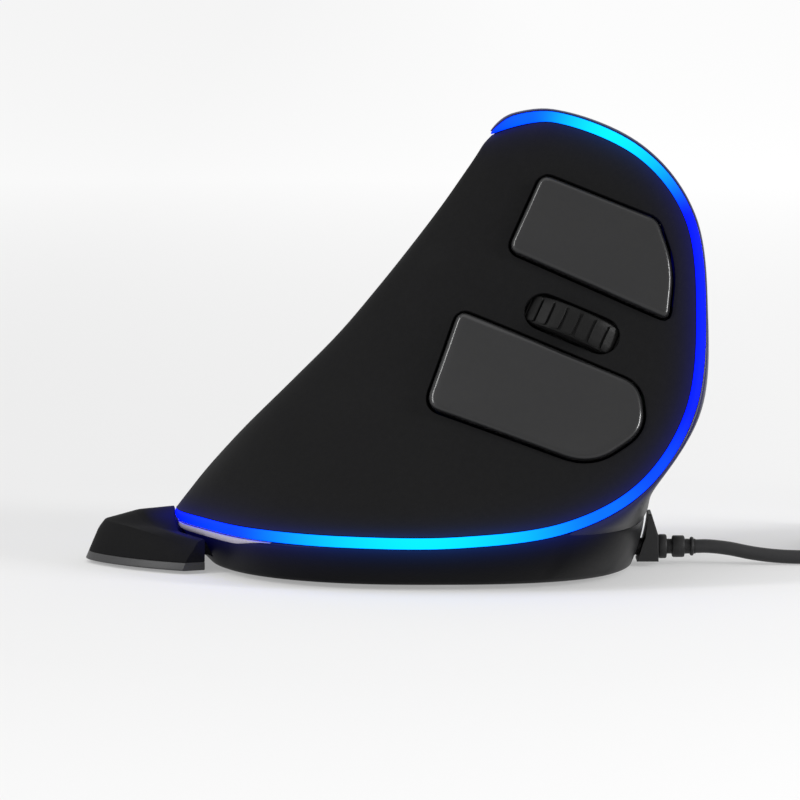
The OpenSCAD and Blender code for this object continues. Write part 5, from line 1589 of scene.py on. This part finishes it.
@dataclass
class PalmRest:
    """The low rest behind the body, in two pieces."""

    lines: BodyLines
    palette: Palette
    reach: float = 58.5
    height: float = 9.8
    side_h: float = 6.0
    rear_h: float = 7.5
    gap: float = 0.2
    plate_t: float = 1.4
    plate_seam: float = 0.02
    pad_t: float = 0.6
    span: float = 1.1
    taper: float = 0.75
    tip: float = 3.0
    lean: float = 0.43
    droop: float = 4.4
    lip: float = 1.0
    brow: float = 1.5
    crown: float = 0.5
    dip: float = 8.0
    wide: float = 25.0
    stations: int = 96

    def __post_init__(self) -> None:
        """Lays out the stations from the thumb side to the finger side."""
        self.s = np.linspace(-self.span, self.span, self.stations + 1)
        edge = self.lines.edge_at(self.s)
        self.a = self.lines.bearing(edge)
        self.turn = 180 - np.abs(np.degrees(self.a))
        self.fall = (self.turn / self.wide) ** 2
        crown = edge + self.lines.guide_crown * self.lines.edge_out(self.s)
        self.rim = self._far(crown) + self.gap

    def _far(self, p: Array) -> Array:
        """Distance from the foot's centre."""
        return np.hypot(p[..., 0] - self.lines.foot_cx, p[..., 1])

    def _out(self, z: Array) -> Array:
        """The rest's outer face."""
        spread = np.sqrt(self.turn**2 + self.tip**2) - self.tip
        return self.reach - self.taper * spread - self.lean * (z - self.pad_t)

    def _side(self, z: Array) -> Array:
        """The rest's outer face, kept clear of its rim."""
        return np.maximum(self._out(z), self.rim + self.lip)

    def _loft(self, corners: Sequence[tuple[Array, Array]], radii: Sequence[float]) -> Solid:
        """A solid from one rounded section at each station.

        Args:
            corners: each corner's distances from the foot's centre, and its heights.
            radii: how far each corner is rounded.

        Returns:
            The solid.
        """
        rings = []
        for i in range(len(self.s)):
            flat = rounded([[float(r[i]), float(z[i])] for r, z in corners], radii, 5)
            rings.append(np.stack([self.lines.foot_cx + flat[:, 0] * math.cos(self.a[i]),
                                   flat[:, 0] * math.sin(self.a[i]), flat[:, 1]], -1))
        solid = Solid()
        solid.loft(np.array(rings))
        return solid

    def build(self) -> list[bpy.types.Object]:
        """Makes the rest's top and its lower plate."""
        one = np.ones_like(self.s)
        plate_z = (self.pad_t + self.plate_t) * one
        hi = lerp(self.height, self.side_h, smooth(self.turn / self.dip))
        lo = self.rear_h - self.droop * self.fall
        brow = lo - self.brow
        out = self._side(lo)
        top = self._loft([
            (self.rim, plate_z), (self.rim, hi), ((self.rim + out) / 2, (hi + lo) / 2 + self.crown),
            (out - self.lip / 2, lo), (self._side(brow), brow), (self._side(plate_z), plate_z)],
            [0.15, 0.3, 0.6, 0.35, 0.6, 0.15])
        for side in (-1, 1):
            Tongues().add(top, self.lines, side, 0.3)
        low = self.pad_t * one
        under = plate_z - self.plate_seam
        plate = self._loft([
            (self.rim, low), (self.rim, under), (self._side(plate_z), under), (self._side(low), low)],
            [0.2, 0.1, 0.15, 0.35])
        pad = top.piece("palm_rest_pad_top", self.palette["palm_plastic"], 35)
        foot = plate.piece("palm_rest_plate", self.palette["palm_plate"], 35)
        return [settle(pad, Body.PALM, "palm_top", "palm_rest_top"),
                settle(foot, Body.PALM, "palm_base", "palm_rest_base")]


# Cable

@dataclass
class Cable:
    """The cable with its boot, coil, tie and plug."""

    lines: BodyLines
    palette: Palette
    diameter: float = 2.4
    coil_r: float = 13.0
    pitch: float = 2.9
    layer_turns: int = 4
    layers: int = 4
    climb: float = 0.5
    coil_z: float = 2.1
    tail_len: float = 24.0
    tail_z: float = 3.9
    y: float = -4.0
    z: float = 3.2
    boot_in: float = 38.5
    neck_r: float = 1.5
    boot_neck: float = 1.3
    boot_stand: float = 0.8
    boot_shoulder: float = 7.1
    boot_soft: float = 0.3
    boot_nose: float = 6.5
    boot_high: float = 9.2
    boot_half: float = 3.2
    boot_edge: float = 0.25
    # Start and end before the cable's exit, and radius
    boot_ribs: tuple[Triple, ...] = ((-6.5, -5.0, 2.1), (-4.1, -1.9, 1.9), (-1.0, -0.3, 1.65))
    tie_t: float = 0.6
    tie_w: float = 4.0
    tie_gap: float = 0.3
    plug_h: float = 7.6
    plug_w: float = 11.6
    plug_len: float = 25.0
    plug_ribs: int = 6
    plug_rib: tuple[float, float] = (0.7, 0.5)
    plug_rib_from: float = 13.5
    plug_rib_step: float = 1.7
    turn_points: int = 40
    # Route of the free stretch, as in the part's source
    route: Array = field(default_factory=lambda: np.array([
        [52.6, -4, 3.2], [55, -4, 3.2], [58.5, -4, 2.8], [62.5, -4, 2], [66.5, -4, 1.5], [70.5, -4, 1.3],
        [75, -4, 1.3], [80, -4, 1.3], [85, -4, 1.6], [89, -4, 2.1], [92, -4, 2.1]]))
    tail_steps: Array = field(default_factory=lambda: np.array([
        [0, 0], [0.12, 0], [0.3, 0.09], [0.5, 0.44], [0.7, 0.8], [0.88, 1], [1, 1]]))

    def __post_init__(self) -> None:
        """Works out the coil's layers."""
        self.layer_len = self.layer_turns + self.climb
        self.first_run = self.layer_turns + self.climb / 2
        self.turns = self.layers * self.layer_len - self.climb * 1.5
        self.coil_out = self.coil_r + self.pitch * self.first_run / 2
        self.middle = np.array([self.route[-1][0] + self.diameter, self.y + self.coil_out])

    def _coil(self, q: Array) -> Array:
        """The coil's centre line after q turns."""
        u = q - self.first_run
        k = np.floor(u / self.layer_len)
        v = u - k * self.layer_len
        r = self.coil_out - self.pitch * self.first_run + self.pitch * np.where(
            u < 0, -u, np.where(k % 2 == 0, v, self.layer_len - v))
        level = np.floor(q / self.layer_len)
        rise = smooth((q - level * self.layer_len - self.layer_turns) / self.climb)
        a = 2 * np.pi * q - np.pi / 2
        return np.stack([self.middle[0] + r * np.cos(a), self.middle[1] + r * np.sin(a),
                         self.coil_z + self.pitch * (level + rise)], -1)

    def line(self) -> Array:
        """The whole centre line, from the boot to the plug."""
        free = curve_at(self.route, np.linspace(0, len(self.route) - 1, 4 * (len(self.route) - 1) + 1))
        wound = self._coil(np.linspace(0, self.turns, int(self.turns * self.turn_points) + 1))
        end = wound[-1] + [0, self.diameter, 0]
        drop = [0, self.tail_len, self.tail_z - end[2]]
        steps = np.column_stack([np.zeros(len(self.tail_steps)), self.tail_steps])
        tail = curve_at(end + steps * drop, np.linspace(0, len(steps) - 1, 4 * (len(steps) - 1) + 1))
        return np.concatenate([free, wound, tail])

    def cord(self) -> bpy.types.Object:
        """The cable as one open curve."""
        points = self.line() * MM
        data = bpy.data.curves.new("usb_cord", "CURVE")
        data.dimensions = "3D"
        data.bevel_depth = self.diameter / 2 * MM
        data.bevel_resolution = 5
        data.use_fill_caps = True
        spline = data.splines.new("POLY")
        spline.points.add(len(points) - 1)
        spline.points.foreach_set("co", np.column_stack([points, np.ones(len(points))]).ravel())
        spline.use_smooth = True
        data.materials.append(self.palette["cable_rubber"])
        self.length = float(np.linalg.norm(np.diff(points, axis=0), axis=1).sum())
        return settle(linked("usb_cord", data), Body.MOUSE, "cable_rubber",
                      "usb_cable", "cable_coil", "cable_tail")

    def boot(self) -> bpy.types.Object:
        """The ribbed strain relief and its flange."""
        exit_x, neck = self.route[0][0], self.boot_neck
        profile = [(0, self.boot_in), (self.neck_r, self.boot_in), (self.neck_r, exit_x - self.boot_shoulder)]
        for start, end, r in self.boot_ribs:
            soft = min(self.boot_soft, (end - start) / 2.2)
            slight, near, far = soft * 0.3, exit_x + start, exit_x + end
            profile += [(neck, near), (r - soft, near), (r - slight, near + slight), (r, near + soft),
                        (r, far - soft), (r - slight, far - slight), (r - soft, far), (neck, far)]
        profile += [(neck, exit_x), (0, exit_x)]
        solid = Solid()
        solid.revolve(profile, [0, self.y, self.z], [1, 0, 0], 48)
        low, high, nose = self.lines.base_z + 0.1, self.boot_high, exit_x - self.boot_nose
        outline = [[self.lines.front_x(z) + self.boot_stand, z] for z in np.linspace(low, high, 9)]
        outline += [[self.lines.front_x(high) + self.boot_stand + 0.6, high], [nose, self.z + 2.1], [nose, low]]
        flat = np.array(outline)
        edge, half = self.boot_edge, self.boot_half
        thin = flat + edge * unit(flat.mean(0) - flat)
        rings = [(thin, half), (flat, half - edge), (flat, edge - half), (thin, -half)]
        solid.loft(np.array([np.stack([o[:, 0], np.full(len(o), self.y + y), o[:, 1]], -1) for o, y in rings]))
        return settle(solid.piece("cable_boot_ribs", self.palette["boot_rubber"], 40), Body.MOUSE,
                      "cable_rubber", "cable_boot")

    def tie(self) -> bpy.types.Object:
        """The strap round the coil."""
        inner = self.coil_out - self.pitch * (self.first_run - self.climb / 2)
        near = inner - self.diameter / 2 - 2 * self.tie_gap
        far = self.coil_out + self.diameter / 2 + self.tie_gap
        low = self.coil_z - self.diameter / 2 - self.tie_gap
        high = self.coil_z + (self.layers - 1) * self.pitch + self.diameter / 2 + self.tie_gap
        middle = np.array([(far + near) / 2, (high + low) / 2])
        loops = {}
        for out in (0.0, self.tie_t):
            flat = rectangle(far - near + 2 * out, high - low + 2 * out)
            loops[out] = rounded(flat, [1.0 + out] * 4, 8) + middle
        soft, half = 0.12, self.tie_w / 2
        section = [(soft, -half), (1 - soft, -half), (1, -half + soft), (1, half - soft), (1 - soft, half),
                   (soft, half), (0, half - soft), (0, -half + soft)]
        rings = []
        for near_point, far_point in zip(loops[0.0], loops[self.tie_t]):
            ring = []
            for depth, x in section:
                y, z = lerp(near_point, far_point, depth)
                ring.append([self.middle[0] + x, self.middle[1] + y, z])
            rings.append(ring)
        strap = Solid()
        strap.loft(np.array(rings), closed=True)
        return settle(strap.piece("cable_strap", self.palette["tie_band"], 50), Body.MOUSE,
                      "tie_band", "cable_tie")

    def plug(self) -> bpy.types.Object:
        """The plug's moulded grip, with ribs on its two flat sides."""
        at = self.line()[-1]
        sections = np.array([[0, 4, 4], [5, 5, 4.6], [6.5, 8.6, 6.4], [9, self.plug_w - 0.4, self.plug_h - 0.2],
                             [12, self.plug_w, self.plug_h], [self.plug_len - 1, self.plug_w, self.plug_h],
                             [self.plug_len - 0.3, self.plug_w - 0.3, self.plug_h - 0.3],
                             [self.plug_len, self.plug_w - 0.8, self.plug_h - 0.8]])
        rings = []
        for run, width, height in sections:
            flat = rounded(rectangle(width, height), [min(width, height) * 0.45] * 4, 8)
            across, up = flat.T
            rings.append(np.stack([at[0] - across, np.full(len(flat), at[1] + run), at[2] + up], -1))
        grip = Solid()
        grip.loft(np.array(rings))
        for k in range(self.plug_ribs):
            run = self.plug_rib_from + self.plug_rib_step * k
            for face in (-1, 1):
                grip.box([self.plug_w * 0.5, *self.plug_rib], at + [0, run, face * self.plug_h / 2],
                         np.eye(3), 0.2)
        return settle(grip.piece("plug_grip_ribbed", self.palette["plug_plastic"], 40), Body.MOUSE, "plug_grip",
                      "usb_plug_grip")


# Solids that keep their shape

PLAIN_NODES: dict[str, str] = {
    "led_strip": "white_strip", "light_leds": "lamp_resin", "glide_feet": "glide",
    "main_board": "circuit_board", "switch_board": "circuit_board", "thumb_board": "circuit_board",
    "controller_chip": "chip_black", "sensor_chip": "chip_black", "sensor_lens": "clear_lens",
    "main_board_screws": "plated_steel", "switch_board_screws": "plated_steel",
    "thumb_board_screws": "plated_steel", "usb_plug_shell": "plated_steel",
    "cable_socket": "white_plastic", "left_switch": "chip_black", "right_switch": "chip_black",
    "wheel_switch": "chip_black", "wheel_encoder": "chip_black", "thumb_switches": "chip_black",
    "wheel_bracket": "cradle_plastic", "wheel_cradle": "cradle_plastic", "wheel_hub": "cradle_plastic",
    "finger_ribbon": "ribbon", "thumb_ribbon": "ribbon", "inner_lead": "cable_rubber",
    "left_plunger": "white_plastic", "right_plunger": "white_plastic", "wheel_plunger": "white_plastic",
    "forward_plunger": "white_plastic", "back_plunger": "white_plastic", "speed_plunger": "white_plastic",
    "palm_rest_pads": "pad_rubber", "usb_plug_tongue": "white_plastic",
}


def dress_nodes(palette: Palette) -> None:
    """Gives every solid that stays its material."""
    for name, material in PLAIN_NODES.items():
        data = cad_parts[name].data
        data.materials.clear()
        data.materials.append(palette[material])
        LOG.info("%s keeps its solid in %s", name, material)


# Studio

@dataclass(frozen=True)
class Lamp:
    """One soft lamp, in metres and watts."""

    name: str
    at: Triple
    size: tuple[float, float]
    power: float

    def build(self, aim: Triple) -> None:
        """Makes the lamp and points it at a place."""
        data = bpy.data.lights.new(self.name, "AREA")
        data.shape = "RECTANGLE"
        data.size, data.size_y = self.size
        data.energy = self.power
        obj = linked(self.name, data)
        obj.location = self.at
        obj.rotation_euler = (Vector(aim) - Vector(self.at)).to_track_quat("-Z", "Y").to_euler()


@dataclass
class Studio:
    """Camera, lamps, floor and world, in metres."""

    lamps: tuple[Lamp, ...] = (
        Lamp("overhead", (-0.25, -0.25, 0.9), (0.7, 0.7), 1.3),
        Lamp("right_strip", (0.75, -0.32, 0.2), (0.10, 0.5), 6.0),
        Lamp("left_strip", (-0.7, -0.3, 0.4), (0.12, 0.5), 3.0))
    middle: Triple = (0.0, 0.0, 0.04)
    pale: float = 0.896
    fill: float = 0.88
    fill_bounce: float = 0.8
    floor_lit: float = 0.48
    floor_near: float = 0.33
    floor_far: float = 0.60
    floor_run: tuple[float, float] = (0.12, 0.95)
    # Painted shade: how far the floor's glow drops towards the left and rises towards the right, over the next
    # distance
    floor_side_shade: float = 0.03
    side_shade_run: float = 0.09
    floor_size: float = 14.0
    distance: float = 0.9
    elevation: float = 6.4
    target: tuple[float, float, float] = (0.00134, -0.02, 0.03052)
    lens: float = 238.235

    def camera(self) -> None:
        """The photograph's view."""
        data = bpy.data.cameras.new("camera")
        data.sensor_width = 36
        data.lens = self.lens
        obj = linked("camera", data)
        e = math.radians(self.elevation)
        back = Vector((0, -math.cos(e), math.sin(e)))
        obj.location = Vector(self.target) + back * self.distance
        obj.rotation_euler = (-back).to_track_quat("-Z", "Y").to_euler()
        bpy.context.scene.camera = obj

    @staticmethod
    def _seen(tree: bpy.types.NodeTree) -> bpy.types.NodeSocket:
        """One where a camera, gloss or clear ray looks."""
        path = tree.nodes.new("ShaderNodeLightPath")
        first = add_node(tree, "ShaderNodeMath", {"0": path.outputs["Is Camera Ray"],
                                                  "1": path.outputs["Is Glossy Ray"]}, operation="MAXIMUM")
        both = add_node(tree, "ShaderNodeMath", {"0": first.outputs[0],
                                                 "1": path.outputs["Is Transmission Ray"]}, operation="MAXIMUM")
        return both.outputs[0]

    def floor(self) -> None:
        """The pale floor: part of its tone is its own, and the rest takes the shadow; its own glow is lower
        near the middle against the lamps' falloff, and a painted shade darkens it towards the left.
        """
        half = self.floor_size / 2
        mesh = bpy.data.meshes.new("floor")
        corners = [(-half, -half, 0), (half, -half, 0), (half, half, 0), (-half, half, 0)]
        mesh.from_pydata(corners, [], [(0, 1, 2, 3)])
        obj = linked("floor", mesh)
        made = bpy.data.materials.new("pale_floor")
        made.use_nodes = True
        tree = made.node_tree
        tree.nodes.clear()
        place = tree.nodes.new("ShaderNodeTexCoord").outputs["Object"]
        reach = add_node(tree, "ShaderNodeVectorMath", {"0": place}, operation="LENGTH").outputs["Value"]
        away = ranged(tree, reach, self.floor_near, self.floor_far, *self.floor_run)
        # Painted shade across the floor, darker on the left
        across = add_node(tree, "ShaderNodeSeparateXYZ", {"Vector": place}).outputs["X"]
        side_shade = ranged(tree, across, -self.floor_side_shade, self.floor_side_shade, -self.side_shade_run, self.side_shade_run)
        tone = add_node(tree, "ShaderNodeMath", {"0": away, "1": side_shade}, operation="ADD")
        glow = add_node(tree, "ShaderNodeEmission", {"Strength": tone.outputs[0]})
        lit = add_node(tree, "ShaderNodeBsdfDiffuse", {}, Color=(self.floor_lit,) * 3 + (1,))
        pale = add_node(tree, "ShaderNodeAddShader", {"0": glow.outputs[0], "1": lit.outputs[0]})
        bounce = add_node(tree, "ShaderNodeBsdfDiffuse", {}, Color=(self.fill_bounce,) * 3 + (1,))
        mix = add_node(tree, "ShaderNodeMixShader", {"0": self._seen(tree), "1": bounce.outputs[0],
                                                     "2": pale.outputs[0]})
        out = tree.nodes.new("ShaderNodeOutputMaterial")
        tree.links.new(mix.outputs[0], out.inputs["Surface"])
        mesh.materials.append(made)

    def world(self) -> None:
        """Even light all round, seen as the pale background."""
        made = bpy.data.worlds.new("studio")
        bpy.context.scene.world = made
        made.use_nodes = True
        tree = made.node_tree
        tree.nodes.clear()
        fill = add_node(tree, "ShaderNodeBackground", {}, Strength=self.fill)
        seen = add_node(tree, "ShaderNodeBackground", {}, Strength=self.pale)
        mix = add_node(tree, "ShaderNodeMixShader", {"0": self._seen(tree), "1": fill.outputs[0],
                                                     "2": seen.outputs[0]})
        out = tree.nodes.new("ShaderNodeOutputWorld")
        tree.links.new(mix.outputs[0], out.inputs["Surface"])

    def build(self) -> None:
        """Sets up everything but the object."""
        bpy.context.scene.view_settings.view_transform = "Standard"
        self.floor()
        self.world()
        for lamp in self.lamps:
            lamp.build(self.middle)


def main() -> None:
    """Builds the mouse's looks round its solids."""
    logging.basicConfig(level=logging.INFO, format="%(message)s")
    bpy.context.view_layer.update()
    studio = Studio()
    studio.camera()
    palette = Palette()
    lines = BodyLines()
    cable = Cable(lines, palette)
    cord = cable.cord()
    boot = cable.boot()
    cable.tie()
    cable.plug()
    shells = Shells(lines, palette)
    fingers = FingerSide(lines, palette)
    thumb = ThumbSide(lines, palette)
    finger_cover = shells.cover("finger_panel", 0.0, shells.cover_seam, shells.finger_columns)
    slot = slot_outline(fingers.slot_len, fingers.wheel_w + 2 * fingers.wheel_gap)
    carved(finger_cover, [
        shells.opening(fingers.on, fingers.spot, fingers.left, shells.key_gap, fingers.key_deep + 1),
        shells.opening(fingers.on, fingers.spot, fingers.right, shells.key_gap, fingers.key_deep + 1),
        shells.opening(fingers.on, fingers.spot, slot, 0.0, fingers.key_deep)], 40)
    mark_painted_glow(finger_cover, lines)
    settle(finger_cover, Body.MOUSE, "panel_plastic", "finger_cover")
    thumb_cover = shells.cover("thumb_panel", shells.cover_seam, 2.0, shells.thumb_columns)
    carved(thumb_cover, [shells.opening(thumb.on, thumb.spot, outline, shells.key_gap, thumb.deep + 1)
                         for outline in thumb.outlines.values()], 40)
    mark_painted_glow(thumb_cover, lines)
    settle(thumb_cover, Body.MOUSE, "panel_plastic", "thumb_cover")
    mark_painted_glow(shells.front(), lines)
    shells.guide()
    shells.rear_reflection_lip()
    base = settle(shells.base(), Body.MOUSE, "rim_plastic", "base_shell")
    mark_painted_glow(base, lines)
    ScrewSet(SCREWS_AT, lines.base_z).piece("base_screws_crossed", palette["plated_steel"])
    fingers.key("left_key_cap", fingers.left, fingers.left_pivot, fingers.left_switch, Body.LEFT, "left_key")
    fingers.key("right_key_cap", fingers.right, fingers.right_pivot, fingers.right_switch, Body.RIGHT,
                "right_key")
    fingers.wheel()
    for body in thumb.places:
        thumb.button(body)
    mark_painted_glow(PalmRest(lines, palette).build()[0], lines)
    dress_nodes(palette)
    studio.build()


if __name__ == "__main__":
    main()
